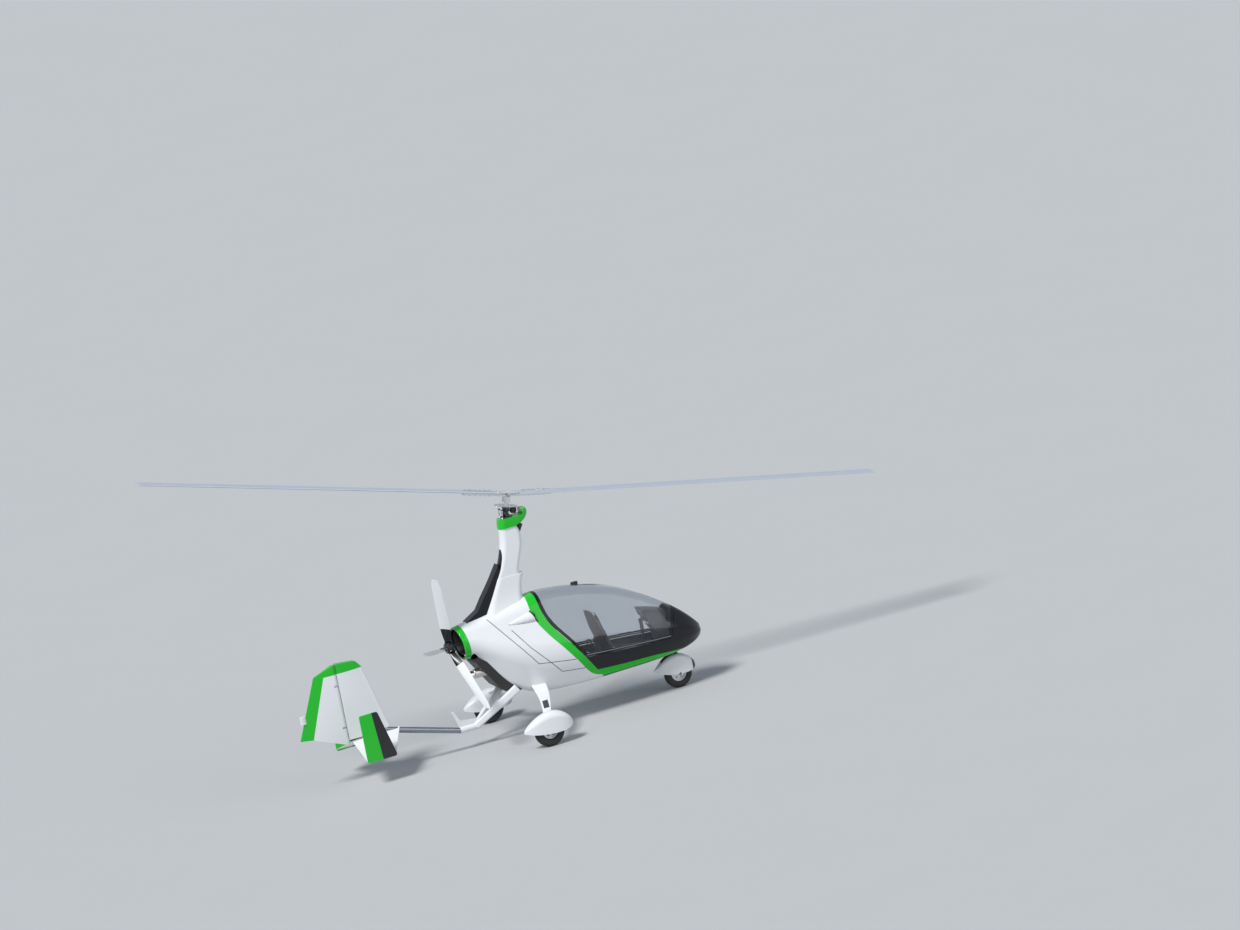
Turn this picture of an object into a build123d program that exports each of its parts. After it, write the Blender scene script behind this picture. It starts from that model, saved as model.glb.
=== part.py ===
from build123d import *
import math
import os

# Gyroplane, two seats in line, pusher propeller, on its wheels.
# Row frame: +X to the nose, +Y to port, +Z up, all in millimetres.
# Stations are measured forward of the main wheels' axle and heights above the ground.
os.makedirs("parts", exist_ok=True)

# Rotor and its head
rotor_radius = 4300
blade_root_radius = 130
blade_chord = 215
blade_thickness = 26
disc_tilt = 14.4
precone_angle = 2.25
teeter_station = 375
teeter_height = 2618
hub_bar_reach = 520
hub_bar_width = 90
hub_bar_thickness = 22
shaft_length = 200
shaft_radius = 22
gear_disc_radius = 122
gear_disc_thickness = 8
pin_radius = 8
running_gap = 0.05
seat_gap = 0.3
moving_gap = 5

# Wheels
wheel_base = 1920
wheel_track = 1710
main_tyre_radius = 175
main_tyre_width = 92
nose_tyre_radius = 162
nose_tyre_width = 84
rim_radius = 88
axle_radius = 11
pant_wall = 5
pant_half_width = 86
nose_pant_half_width = 84

# Body shell
shell_wall = 12
glass_wall = 6
panel_gap = 7
canopy_rail = 34
firewall_station = 330
firewall_wall = 10
floor_height = 446
floor_wall = 10

# Propeller, with its shaft leaning down towards the rear
prop_radius = 870
prop_axis_height = 1177
prop_station = -625
prop_lean = 6.5
prop_hub_radius = 62
prop_hub_length = 66
prop_shaft_radius = 20
prop_first_blade = 75
ring_station = -480
ring_radius = 190
ring_length = 40
ring_wall = 26

# Tail
boom_radius = 32
boom_start_station = -694
boom_start_height = 236
boom_slope = 16.4
boom_length = 960
hinge_station = -2006
hinge_nose_radius = 33
hinge_pin_radius = 5
fin_bottom = 492
fin_shoulder = 1240
tail_top = 1348
stabiliser_half_span = 450
end_plate_thickness = 14

# Mast
mast_half_width = 78
mast_cap_bottom = 2275
mast_cap_top = 2380

# Steering
steering_station = 1940
stem_radius = 20
stem_top = 600
bearing_wall = 12
tow_bore_radius = 6

# The box of the whole machine is centred on the origin by the rotor's two tips.
front_slope = math.radians(disc_tilt - precone_angle)
rear_slope = math.radians(disc_tilt + precone_angle)
tip_offset = rotor_radius * (math.cos(front_slope) - math.cos(rear_slope)) / 2
main_axle_x = -(teeter_station + tip_offset)


def at(station):
    """Row-frame x of a station."""
    return main_axle_x + station


def cross_plane(station, lean=0.0):
    """Plane across the machine with its origin at the propeller axis height."""
    tilt = math.radians(lean)
    normal = (math.cos(tilt), 0, math.sin(tilt))
    return Plane(origin=(at(station), 0, prop_axis_height), x_dir=(0, 1, 0), z_dir=normal)


# Body sections, nose to exhaust ring.
# station, bottom, widest and top height, half widths at those heights, their corner radii
hull_rows = [
    (2262, 525, 575, 640, 25, 58, 28, 20, 30, 22),
    (2200, 488, 590, 715, 75, 140, 62, 50, 90, 60),
    (2080, 448, 620, 838, 125, 218, 95, 80, 170, 90),
    (1860, 415, 670, 1015, 165, 285, 120, 100, 280, 130),
    (1500, 402, 730, 1240, 200, 338, 140, 110, 420, 170),
    (1100, 400, 760, 1403, 212, 360, 150, 110, 480, 190),
    (700, 403, 790, 1486, 212, 366, 150, 110, 480, 190),
    (300, 430, 850, 1492, 200, 355, 150, 110, 440, 185),
    (0, 545, 960, 1440, 160, 315, 138, 100, 330, 165),
    (-250, 808, 1085, 1400, 118, 248, 118, 120, 230, 150),
]
corner_share = math.tan(math.radians(30))


def hull_outline(row, wall):
    """Closed six-sided outline with rounded corners, drawn wall inside the skin."""
    station, low, wide, high, half_low, half_wide, half_high, r_low, r_wide, r_high = row
    bottom = low + wall - prop_axis_height
    middle = wide - prop_axis_height
    top = high - wall - prop_axis_height
    half_bottom = half_low - wall * 0.55
    half_middle = half_wide - wall
    half_top = half_high - wall * 0.7
    points = [
        (0, bottom),
        (half_bottom, bottom),
        (half_middle, middle),
        (half_top, top),
        (-half_top, top),
        (-half_middle, middle),
        (-half_bottom, bottom),
    ]
    low_corner = r_low - wall * 0.55
    wide_corner = r_wide - wall
    high_corner = r_high - wall * 0.8
    radii = [0, low_corner, wide_corner, high_corner, high_corner, wide_corner, low_corner]
    FilletPolyline(*points, radius=radii, close=True)


def ring_row(wall):
    """Near-round section of the exhaust ring's seat."""
    outer = ring_radius - wall
    low = prop_axis_height - outer - wall
    high = prop_axis_height + outer + wall
    half = outer * corner_share + wall * 0.62
    wide = outer / math.cos(math.radians(30)) + wall
    corner = outer * 0.955 + wall
    return (ring_station, low, prop_axis_height, high, half, wide, half, corner, corner, corner)


with BuildPart() as skin:
    for row in hull_rows:
        with BuildSketch(cross_plane(row[0])):
            with BuildLine():
                hull_outline(row, 0)
            make_face()
    with BuildSketch(cross_plane(ring_station, prop_lean)):
        with BuildLine():
            hull_outline(ring_row(0), 0)
        make_face()
    loft()


def hollow(wall, plain):
    """Cabin space inside the skin, from the nose back to the firewall."""
    with BuildPart() as space:
        for row in hull_rows:
            station = row[0] - (wall if row is hull_rows[0] else 0)
            with BuildSketch(cross_plane(station)):
                with BuildLine():
                    hull_outline(row, wall)
                make_face()
        loft(ruled=plain)
        with BuildSketch(Plane.YZ.offset(at(firewall_station))):
            with Locations((0, prop_axis_height)):
                Rectangle(prop_axis_height, 2 * prop_axis_height)
        extrude(amount=-firewall_station, mode=Mode.SUBTRACT)
    return space.part


inside = hollow(shell_wall, True)
glass_inside = hollow(glass_wall, False)

# Engine bay behind the firewall, open at the exhaust ring
# station, lean, width, height, corner radius, height of its middle
bay_end = 3
bay_rows = [
    (firewall_station - firewall_wall, 0, 340, 860, 80, 950),
    (0, 0, 300, 700, 80, 990),
    (-250, 0, 264, 450, 70, 1105),
    (
        ring_station - bay_end,
        prop_lean,
        2 * (ring_radius - shell_wall),
        2 * (ring_radius - shell_wall),
        (ring_radius - shell_wall) * 0.98,
        prop_axis_height,
    ),
]

with BuildPart() as engine_bay:
    for station, lean, width, height, corner, middle in bay_rows:
        with BuildSketch(cross_plane(station, lean)):
            with Locations((0, middle - prop_axis_height)):
                RectangleRounded(width, height, corner)
    loft(ruled=True)

# Seams seen from the side, as (station, height)
side_reach = 600
roof_height = 1650
band_station = 412
band_corner = (band_station, 1243)
band_bend_radius = 640
sill_rear = (790, 700)
sill_front = (1830, 622)
brow = (2062, 1100)
seam_slope = (sill_rear[0] - band_corner[0]) / (band_corner[1] - sill_rear[1])
seam_foot_height = 300
seam_foot = (sill_rear[0] + seam_slope * (sill_rear[1] - seam_foot_height), seam_foot_height)
aft_limit = ring_station - 200


def side(points):
    """Side-view points shifted to the row frame."""
    return [(at(x), z) for x, z in points]


with BuildPart() as aft_zone:
    with BuildSketch(Plane.XZ):
        with BuildLine():
            aft_points = [
                (aft_limit, seam_foot_height),
                (aft_limit, roof_height),
                (band_station, roof_height),
                band_corner,
                seam_foot,
            ]
            FilletPolyline(*side(aft_points), radius=[0, 0, 0, band_bend_radius, 0], close=True)
        make_face()
    extrude(amount=side_reach, both=True)


def canopy_zone(inset):
    """Side-view zone of the canopy, drawn in by inset all round."""
    with BuildPart() as zone:
        with BuildSketch(Plane.XZ):
            with BuildLine():
                points = [
                    (band_station, roof_height),
                    band_corner,
                    sill_rear,
                    sill_front,
                    brow,
                    (brow[0], roof_height),
                ]
                radii = [0, band_bend_radius, 60, 60, 0, 0]
                FilletPolyline(*side(points), radius=radii, close=True)
            make_face()
            if inset:
                offset(amount=-inset, mode=Mode.REPLACE)
        extrude(amount=side_reach, both=True)
    return zone.part


canopy_opening = canopy_zone(0)
canopy_panel = canopy_zone(panel_gap)
glass_panel = canopy_zone(panel_gap + canopy_rail)

with BuildPart() as canopy_frame:
    add(skin.part)
    add(inside, mode=Mode.SUBTRACT)
    add(canopy_panel, mode=Mode.INTERSECT)
    add(glass_panel, mode=Mode.SUBTRACT)

with BuildPart() as canopy_glass:
    add(skin.part)
    add(glass_inside, mode=Mode.SUBTRACT)
    add(glass_panel, mode=Mode.INTERSECT)

# Canopy hinges outside the port sill: a tab on the canopy between two ears on the tub
hinge_stations = (890, 1100)
canopy_hinge_y = 352
canopy_hinge_height = 712
hinge_pin = 5
hinge_barrel = 10
hinge_tab = 28
hinge_leaf = 9
hinge_leaf_drop = 3.5
hinge_leaf_reach = 36
hinge_ear = 8
hinge_ear_gap = 17
hinge_ear_points = [(298, 628), (310, 628), (361, 707), (343, 716), (316, 676), (298, 672)]


def hinge_plane(station, offset):
    """Plane across a hinge at an offset along its pin."""
    return Plane.YZ.offset(at(station) + offset)


with BuildPart() as canopy_tabs:
    for station in hinge_stations:
        with BuildSketch(hinge_plane(station, -hinge_tab / 2)):
            with Locations((canopy_hinge_y, canopy_hinge_height)):
                Circle(hinge_barrel)
            with Locations((canopy_hinge_y - hinge_leaf_reach / 2, canopy_hinge_height - hinge_leaf_drop)):
                Rectangle(hinge_leaf_reach, hinge_leaf)
            with Locations((canopy_hinge_y, canopy_hinge_height)):
                Circle(hinge_pin + running_gap, mode=Mode.SUBTRACT)
        extrude(amount=hinge_tab)

with BuildPart() as finished_frame:
    add(canopy_frame.part)
    add(canopy_tabs.part)

with BuildPart() as tub_ears:
    for station in hinge_stations:
        for start in (-hinge_ear_gap - hinge_ear, hinge_ear_gap):
            with BuildSketch(hinge_plane(station, start)):
                with Locations((canopy_hinge_y, canopy_hinge_height)):
                    Circle(hinge_barrel)
                with BuildLine():
                    Polyline(*hinge_ear_points, close=True)
                make_face()
            extrude(amount=hinge_ear)
        with BuildSketch(hinge_plane(station, -hinge_ear_gap)):
            with Locations((canopy_hinge_y, canopy_hinge_height)):
                Circle(hinge_pin)
        extrude(amount=2 * hinge_ear_gap)

# Steering bearing in the belly
bearing_radius = stem_radius + running_gap + bearing_wall
belly_height = 400

with BuildPart() as nose_tub:
    add(skin.part)
    add(inside, mode=Mode.SUBTRACT)
    add(aft_zone.part, mode=Mode.SUBTRACT)
    add(canopy_opening, mode=Mode.SUBTRACT)
    with BuildSketch(Plane.XY.offset(belly_height + 30)):
        with Locations((at(steering_station), 0)):
            Circle(bearing_radius)
    extrude(amount=stem_top - 30 - belly_height - 30)
    with BuildSketch(Plane.XY.offset(belly_height - 50)):
        with Locations((at(steering_station), 0)):
            Circle(stem_radius + running_gap)
    extrude(amount=stem_top, mode=Mode.SUBTRACT)
    add(tub_ears.part)

# Air scoops on the shoulders, opening forward just behind the canopy
# station, height, distance from mid-plane, half height, half width
scoop_rows = [
    (30, 1266, 198, 12, 12),
    (180, 1278, 208, 40, 26),
    (322, 1290, 214, 54, 34),
]
scoop_lean = 17
scoop_wall = 6
scoop_depth = 90

with BuildPart() as rear_body:
    add(skin.part)
    for facing in (1, -1):
        with BuildPart(mode=Mode.PRIVATE) as scoop:
            for station, height, reach, half_height, half_width in scoop_rows:
                with BuildSketch(Plane.YZ.offset(at(station))):
                    with Locations((facing * reach, height)):
                        Ellipse(half_width, half_height, rotation=facing * scoop_lean)
            loft()
        add(scoop.part)
    add(inside, mode=Mode.SUBTRACT)
    add(engine_bay.part, mode=Mode.SUBTRACT)
    station, height, reach, half_height, half_width = scoop_rows[-1]
    for facing in (1, -1):
        with BuildSketch(Plane.YZ.offset(at(station - scoop_depth))):
            with Locations((facing * (reach + scoop_wall), height)):
                Ellipse(half_width - 2 * scoop_wall, half_height - 2 * scoop_wall, rotation=facing * scoop_lean)
        extrude(amount=scoop_depth + 20, mode=Mode.SUBTRACT)
    add(aft_zone.part, mode=Mode.INTERSECT)

with BuildPart() as cabin_floor:
    add(inside)
    with BuildSketch(Plane.XY.offset(floor_height)):
        with Locations(((at(firewall_station) + at(2020)) / 2, 0)):
            Rectangle(2020 - firewall_station, side_reach * 2)
        with Locations((at(steering_station), 0)):
            Circle(bearing_radius + seat_gap, mode=Mode.SUBTRACT)
    extrude(amount=floor_wall, mode=Mode.INTERSECT)

# Engine, one block on the firewall side of the bay, with its propeller shaft
engine_front = 150
engine_rear = -330
engine_half_width = 128
engine_low = 760
engine_high = 1250
prop_direction = Vector(-math.cos(math.radians(prop_lean)), 0, -math.sin(math.radians(prop_lean)))


def prop_plane(station):
    """Plane square to the propeller shaft where it crosses a station."""
    drop = (ring_station - station) * math.tan(math.radians(prop_lean))
    origin = (at(station), 0, prop_axis_height - drop)
    return Plane(origin=origin, x_dir=(0, -1, 0), z_dir=prop_direction)


with BuildPart() as engine:
    with BuildSketch(Plane.XZ):
        with BuildLine():
            engine_points = [
                (firewall_station - firewall_wall, 900),
                (engine_front, 850),
                (engine_front - 200, engine_low + 60),
                (-120, 900),
                (engine_rear, 1040),
                (engine_rear, engine_high),
                (engine_front, engine_high),
                (firewall_station - firewall_wall, 1200),
            ]
            Polyline(*side(engine_points), close=True)
        make_face()
    extrude(amount=engine_half_width, both=True)
    with BuildSketch(prop_plane(engine_rear + 20)):
        Circle(prop_shaft_radius)
    extrude(amount=(engine_rear + 20 - prop_station) / math.cos(math.radians(prop_lean)) + prop_hub_length / 2 + 12)

with BuildPart() as cowl_ring:
    with BuildSketch(prop_plane(ring_station)):
        Circle(ring_radius)
        Circle(ring_radius - ring_wall, mode=Mode.SUBTRACT)
    extrude(amount=ring_length)
    fillet(cowl_ring.faces().sort_by(Axis.X)[0].edges(), radius=8)

# Seats: a bucket from one bent board, cut to a rounded outline, with two pads each.
# name, rear foot station, seat height, pan length, back lean, back height
seat_rows = [
    ("front", 1200, 500, 380, 16, 640),
    ("rear", 655, 596, 350, 14, 600),
]
seat_half_width = 195
seat_shell = 10
pad_thickness = 42
pad_half_width = 165
lumbar_radius = 70
pan_rise = 30


def seat_line(row):
    """Side line of a seat: the pan's lip, the heel and the top of the back."""
    label, foot, height, pan, lean, back = row
    sway = math.sin(math.radians(lean))
    rise = math.cos(math.radians(lean))
    return [
        (foot + pan, height + pan_rise),
        (foot, height),
        (foot - back * sway, height + back * rise),
    ]


def seat_front_outline(row, half_width, top_half, corners):
    """Outline seen from the front, narrowing from the shoulders to the crown."""
    label, foot, height, pan, lean, back = row
    shoulder = height + back * 0.62 - (seat_half_width - half_width)
    crown = height + back
    points = [
        (-half_width, height - 60),
        (half_width, height - 60),
        (half_width, shoulder),
        (top_half, crown),
        (-top_half, crown),
        (-half_width, shoulder),
    ]
    FilletPolyline(*points, radius=corners, close=True)


seats = {}
cushions = {}
for row in seat_rows:
    label, foot, height, pan, lean, back = row
    front_plane_x = at(foot - 300)
    with BuildPart() as seat:
        with BuildSketch(Plane.XZ):
            with BuildLine():
                FilletPolyline(*side(seat_line(row)), radius=lumbar_radius)
            trace(line_width=seat_shell)
        extrude(amount=seat_half_width, both=True)
        with BuildSketch(Plane.YZ.offset(front_plane_x)):
            with BuildLine():
                seat_front_outline(row, seat_half_width, 95, [0, 0, 80, 50, 50, 80])
            make_face()
        extrude(amount=900, mode=Mode.INTERSECT)
        with BuildSketch(Plane.XZ):
            with BuildLine():
                rear_leg = foot + lumbar_radius
                front_leg = foot + pan - 50
                base = [
                    (rear_leg, floor_height + floor_wall),
                    (front_leg - 20, floor_height + floor_wall),
                    (front_leg, height + pan_rise * (front_leg - foot) / pan),
                    (rear_leg, height + pan_rise * (rear_leg - foot) / pan),
                ]
                Polyline(*side(base), close=True)
            make_face()
        extrude(amount=seat_half_width * 0.6, both=True)
    seats[label] = seat.part
    with BuildPart() as pads:
        lip, heel, top = [Vector(*point) for point in seat_line(row)]
        along_pan = (lip - heel).normalized()
        along_back = (top - heel).normalized()
        pan_up = Vector(-along_pan.Y, along_pan.X)
        back_out = Vector(along_back.Y, -along_back.X)
        rest = seat_shell / 2 + seat_gap
        for along, out, start, end in (
            (along_pan, pan_up, lumbar_radius + pad_thickness, pan - 24),
            (along_back, back_out, lumbar_radius, back * 0.93),
        ):
            near = heel + along * start + out * rest
            far = heel + along * end + out * rest
            corners = [near, far, far + out * pad_thickness, near + out * pad_thickness]
            with BuildSketch(Plane.XZ):
                with BuildLine():
                    loop = side([(v.X, v.Y) for v in corners])
                    FilletPolyline(*loop, radius=12, close=True)
                make_face()
            extrude(amount=pad_half_width, both=True)
        with BuildSketch(Plane.YZ.offset(front_plane_x)):
            with BuildLine():
                seat_front_outline(row, pad_half_width, 75, [0, 0, 70, 40, 40, 70])
            make_face()
        extrude(amount=900, mode=Mode.INTERSECT)
    cushions[label] = pads.part

# Instrument pedestal ahead of the front seat
panel_half_width = 100

with BuildPart() as instrument_panel:
    with BuildSketch(Plane.XZ):
        with BuildLine():
            panel_points = [
                (1760, floor_height + floor_wall),
                (1860, floor_height + floor_wall),
                (1870, 800),
                (1880, 900),
                (1640, 985),
                (1610, 965),
                (1680, 800),
                (1740, 700),
            ]
            FilletPolyline(*side(panel_points), radius=[0, 0, 0, 30, 14, 8, 0, 0], close=True)
        make_face()
    extrude(amount=panel_half_width, both=True)

# Fixed cabin controls: a stick ahead of each seat and a pair of pedals under the panel
stick_radius = 11
grip_radius = 17
stick_rows = [
    (1612, 390),
    (1052, 330),
]
pedal_station = 1905
pedal_spacing = 250

with BuildPart() as cabin_controls:
    for station, height in stick_rows:
        with BuildSketch(Plane.XY.offset(floor_height + floor_wall)):
            with Locations((at(station), 0)):
                Circle(stick_radius)
        extrude(amount=height)
        with BuildSketch(Plane.XY.offset(floor_height + floor_wall + height - 110)):
            with Locations((at(station), 0)):
                Circle(grip_radius)
        extrude(amount=120)
    with BuildSketch(Plane.XY.offset(floor_height + floor_wall)):
        with Locations((at(pedal_station), pedal_spacing / 2), (at(pedal_station), -pedal_spacing / 2)):
            Rectangle(12, 40)
    extrude(amount=130)

# Mast fairing: a wide lower sheath and a narrower sleeve set back above it.
# height, rear station, front station, half width
mast_rows = [
    (1330, -195, 300, 150),
    (1420, -145, 306, 112),
    (1540, -76, 318, 88),
    (1752, 42, 380, 78),
]
sleeve_rows = [
    (1752, 42, 334, 70),
    (1903, 120, 376, 70),
    (2140, 194, 440, 68),
    (mast_cap_bottom, 205, 410, 66),
]
cap_rows = [
    (mast_cap_bottom, 200, 424, 76),
    (mast_cap_bottom + 50, 206, 520, 80),
    (mast_cap_top, 216, 556, 82),
    (mast_cap_top + 60, 232, 548, 76),
]
cap_lip_station = 496
fairing_roundness = 0.84


def fairing(rows):
    """Solid through level sections with rounded ends."""
    with BuildPart() as body:
        for height, rear, front, half_width in rows:
            corner = fairing_roundness * min(half_width, (front - rear) / 2)
            with BuildSketch(Plane.XY.offset(height)):
                with Locations((at((rear + front) / 2), 0)):
                    RectangleRounded(front - rear, half_width * 2, corner)
        loft()
    return body.part


with BuildPart() as mast_fairing:
    add(fairing(mast_rows))
    add(fairing(sleeve_rows))
    add(skin.part, mode=Mode.SUBTRACT)

# The cap is a tray whose front lip stands up ahead of the rotor head.
with BuildPart() as mast_cap:
    add(fairing(cap_rows))
    with BuildSketch(Plane.XY.offset(mast_cap_top)):
        with Locations((at(cap_lip_station - 300), 0)):
            Rectangle(600, 4 * mast_half_width)
    extrude(amount=cap_rows[-1][0] - mast_cap_top + 1, mode=Mode.SUBTRACT)

with BuildPart() as mast_duct:
    with BuildSketch(Plane.XZ):
        with BuildLine():
            duct_points = [
                (101, 1909),
                (-18, 1744),
                (-150, 1583),
                (-231, 1473),
                (-392, 1386),
                (-392, 1330),
                (101, 1330),
            ]
            radii = [0, 600, 600, 90, 12, 0, 0]
            FilletPolyline(*side(duct_points), radius=radii, close=True)
        make_face()
    extrude(amount=mast_half_width * 0.72, both=True)
    add(mast_fairing.part, mode=Mode.SUBTRACT)
    add(skin.part, mode=Mode.SUBTRACT)

# Rotor head. Heights along the shaft are measured from the pitch pin.
tilt = math.radians(disc_tilt)
shaft_axis = Vector(math.sin(tilt), 0, math.cos(tilt))
disc_forward = Vector(math.cos(tilt), 0, -math.sin(tilt))
teeter_point = Vector(at(teeter_station), 0, teeter_height)
pitch_point = teeter_point - shaft_axis * shaft_length
roll_rise = 34
ear_inner = 26
ear_thickness = 11
ear_radius = 22
bearing_low = 58
bearing_high = 80
bearing_housing_radius = 46
gear_low = bearing_high + 1


def shaft_plane(rise):
    """Plane square to the rotor shaft, x forward, at a height above the pitch pin."""
    return Plane(origin=pitch_point + shaft_axis * rise, x_dir=disc_forward, z_dir=shaft_axis)


def side_plane(y):
    """Plane facing starboard, x forward along the disc, centred on the pitch pin."""
    origin = pitch_point + Vector(0, y, 0)
    return Plane(origin=origin, x_dir=disc_forward, z_dir=(0, -1, 0))


def front_plane(forward):
    """Plane facing forward, x to port, centred on the pitch pin."""
    origin = pitch_point + disc_forward * forward
    return Plane(origin=origin, x_dir=(0, 1, 0), z_dir=disc_forward)


with BuildPart() as head_base:
    with BuildSketch(Plane.XY.offset(mast_cap_top)):
        with Locations((pitch_point.X, 0)):
            RectangleRounded(110, 2 * (ear_inner + ear_thickness) + 30, 12)
    extrude(amount=14)
    for facing in (1, -1):
        with BuildSketch(Plane.XZ.offset(-facing * ear_inner)):
            with Locations((pitch_point.X, pitch_point.Z)):
                Circle(ear_radius)
            with Locations((pitch_point.X, (pitch_point.Z + mast_cap_top) / 2)):
                Rectangle(2 * ear_radius, pitch_point.Z - mast_cap_top)
        extrude(amount=-facing * ear_thickness)
    with BuildSketch(Plane.XZ):
        with Locations((pitch_point.X, pitch_point.Z)):
            Circle(pin_radius + running_gap)
    extrude(amount=200, both=True, mode=Mode.SUBTRACT)

with BuildPart() as head_cross:
    with BuildSketch(side_plane(0)):
        Circle(ear_radius - 4)
        with Locations((0, roll_rise / 2)):
            Rectangle(2 * ear_radius - 8, roll_rise)
        with Locations((0, roll_rise)):
            Circle(ear_radius - 4)
    extrude(amount=ear_inner - moving_gap, both=True)
    with BuildSketch(side_plane(0)):
        Circle(pin_radius)
    extrude(amount=ear_inner + ear_thickness + 6, both=True)
    with BuildSketch(front_plane(0)):
        with Locations((0, roll_rise)):
            Circle(pin_radius)
    extrude(amount=ear_radius + 30, both=True)

roll_ear_start = ear_radius - 4 + moving_gap
roll_ear_end = roll_ear_start + ear_thickness

with BuildPart() as head_block:
    with BuildSketch(shaft_plane(bearing_low)):
        Circle(bearing_housing_radius)
    extrude(amount=bearing_high - bearing_low)
    for facing in (1, -1):
        with BuildSketch(front_plane(facing * roll_ear_start)):
            with Locations((0, roll_rise)):
                Circle(ear_radius - 4)
            with Locations((0, (roll_rise + bearing_low + 8) / 2)):
                Rectangle(2 * ear_radius - 8, bearing_low + 8 - roll_rise)
        extrude(amount=facing * ear_thickness)
    with BuildSketch(front_plane(0)):
        with Locations((0, roll_rise)):
            Circle(pin_radius + running_gap)
    extrude(amount=200, both=True, mode=Mode.SUBTRACT)
    with BuildSketch(shaft_plane(bearing_low + 10)):
        Circle(shaft_radius + running_gap)
    extrude(amount=100, mode=Mode.SUBTRACT)


tower_cheek_gap = hub_bar_width / 2 + 1
tower_cheek = 12
tower_foot = 122
tower_width = 70

with BuildPart() as rotor_shaft:
    with BuildSketch(shaft_plane(bearing_low + 11)):
        Circle(shaft_radius)
    extrude(amount=tower_foot - bearing_low - 11)
    with BuildSketch(shaft_plane(tower_foot)):
        RectangleRounded(tower_width, 2 * (tower_cheek_gap + tower_cheek), 10)
    extrude(amount=14)
    for facing in (1, -1):
        with BuildSketch(side_plane(facing * tower_cheek_gap)):
            with Locations((0, shaft_length)):
                Circle(24)
            with Locations((0, (shaft_length + tower_foot) / 2)):
                Rectangle(48, shaft_length - tower_foot)
        extrude(amount=-facing * tower_cheek)
    with BuildSketch(side_plane(0)):
        with Locations((0, shaft_length)):
            Circle(pin_radius + running_gap)
    extrude(amount=200, both=True, mode=Mode.SUBTRACT)

with BuildPart() as gear_disc:
    with BuildSketch(shaft_plane(gear_low)):
        Circle(gear_disc_radius)
        Circle(shaft_radius, mode=Mode.SUBTRACT)
        with PolarLocations(gear_disc_radius * 0.62, 6):
            Circle(14, mode=Mode.SUBTRACT)
    extrude(amount=gear_disc_thickness)

# Hub bar and blades lie along X, the front half sloping less than the rear half.
bolt_radius = 6


def arm_plane(facing, rise):
    """Plane lying on one half of the hub bar, x out towards the tip."""
    cone = math.radians(precone_angle)
    out = disc_forward * (facing * math.cos(cone)) + shaft_axis * math.sin(cone)
    up = shaft_axis * math.cos(cone) - disc_forward * (facing * math.sin(cone))
    return Plane(origin=teeter_point + up * rise, x_dir=out, z_dir=up)


with BuildPart() as hub_bar:
    for facing in (1, -1):
        with BuildSketch(arm_plane(facing, -hub_bar_thickness / 2)):
            with BuildLine():
                bar_points = [
                    (-30, -hub_bar_width / 2),
                    (hub_bar_reach, -hub_bar_width * 0.36),
                    (hub_bar_reach, hub_bar_width * 0.36),
                    (-30, hub_bar_width / 2),
                ]
                FilletPolyline(*bar_points, radius=[0, 16, 16, 0], close=True)
            make_face()
        extrude(amount=hub_bar_thickness)
    with BuildSketch(side_plane(0)):
        with Locations((0, shaft_length)):
            Circle(pin_radius)
    extrude(amount=tower_cheek_gap + tower_cheek + 8, both=True)

blade_lead = 0.3


def blade_outline():
    """Rotor blade section: round nose, arched top and nearly flat underside."""
    nose = blade_chord * blade_lead
    tail = nose - blade_chord
    up = blade_thickness * 0.66
    down = blade_thickness * 0.34
    nose_x = blade_chord * 0.055
    ThreePointArc((nose - nose_x, -down * 0.7), (nose, 0), (nose - nose_x, up * 0.62))
    ThreePointArc((nose - nose_x, up * 0.62), (nose - blade_chord * 0.32, up), (tail, 1.6))
    Line((tail, 1.6), (tail, -1.6))
    ThreePointArc((tail, -1.6), (nose - blade_chord * 0.38, -down), (nose - nose_x, -down * 0.7))


with BuildPart() as rotor_blades:
    for facing in (1, -1):
        arm = arm_plane(facing, hub_bar_thickness / 2 + blade_thickness * 0.37)
        root = Plane(origin=arm.from_local_coords(Vector(blade_root_radius, 0, 0)), x_dir=arm.y_dir, z_dir=arm.x_dir)
        with BuildSketch(root):
            with BuildLine():
                blade_outline()
            make_face()
        extrude(amount=rotor_radius - blade_root_radius)

# Propeller
# radius, chord, thickness, pitch angle
prop_rows = [
    (prop_hub_radius - 14, 62, 44, 58),
    (170, 104, 30, 46),
    (380, 142, 19, 31),
    (640, 150, 13, 22),
    (800, 138, 9, 18),
    (prop_radius, 84, 6, 17),
]

with BuildPart() as prop_hub:
    with BuildSketch(prop_plane(prop_station).offset(-prop_hub_length / 2)):
        Circle(prop_hub_radius)
        Circle(prop_shaft_radius + running_gap, mode=Mode.SUBTRACT)
    extrude(amount=prop_hub_length)
    fillet(prop_hub.edges().filter_by(GeomType.CIRCLE).group_by(SortBy.RADIUS)[-1], radius=8)

with BuildPart() as prop_blades:
    centre = prop_plane(prop_station)
    for turn in range(3):
        angle = math.radians(prop_first_blade + 120 * turn)
        out = centre.x_dir * math.cos(angle) + centre.y_dir * math.sin(angle)
        with BuildPart(mode=Mode.PRIVATE) as blade:
            for radius, chord, thick, pitch in prop_rows:
                flat = Plane(origin=centre.origin + out * radius, x_dir=centre.z_dir, z_dir=out)
                with BuildSketch(flat.rotated((0, 0, 90 + pitch))):
                    with BuildLine():
                        ThreePointArc((-chord / 2, 0), (0, thick * 0.7), (chord / 2, 0))
                        ThreePointArc((chord / 2, 0), (0, -thick * 0.3), (-chord / 2, 0))
                    make_face()
            loft()
        add(blade.part)
    add(prop_hub.part, mode=Mode.SUBTRACT)

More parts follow.
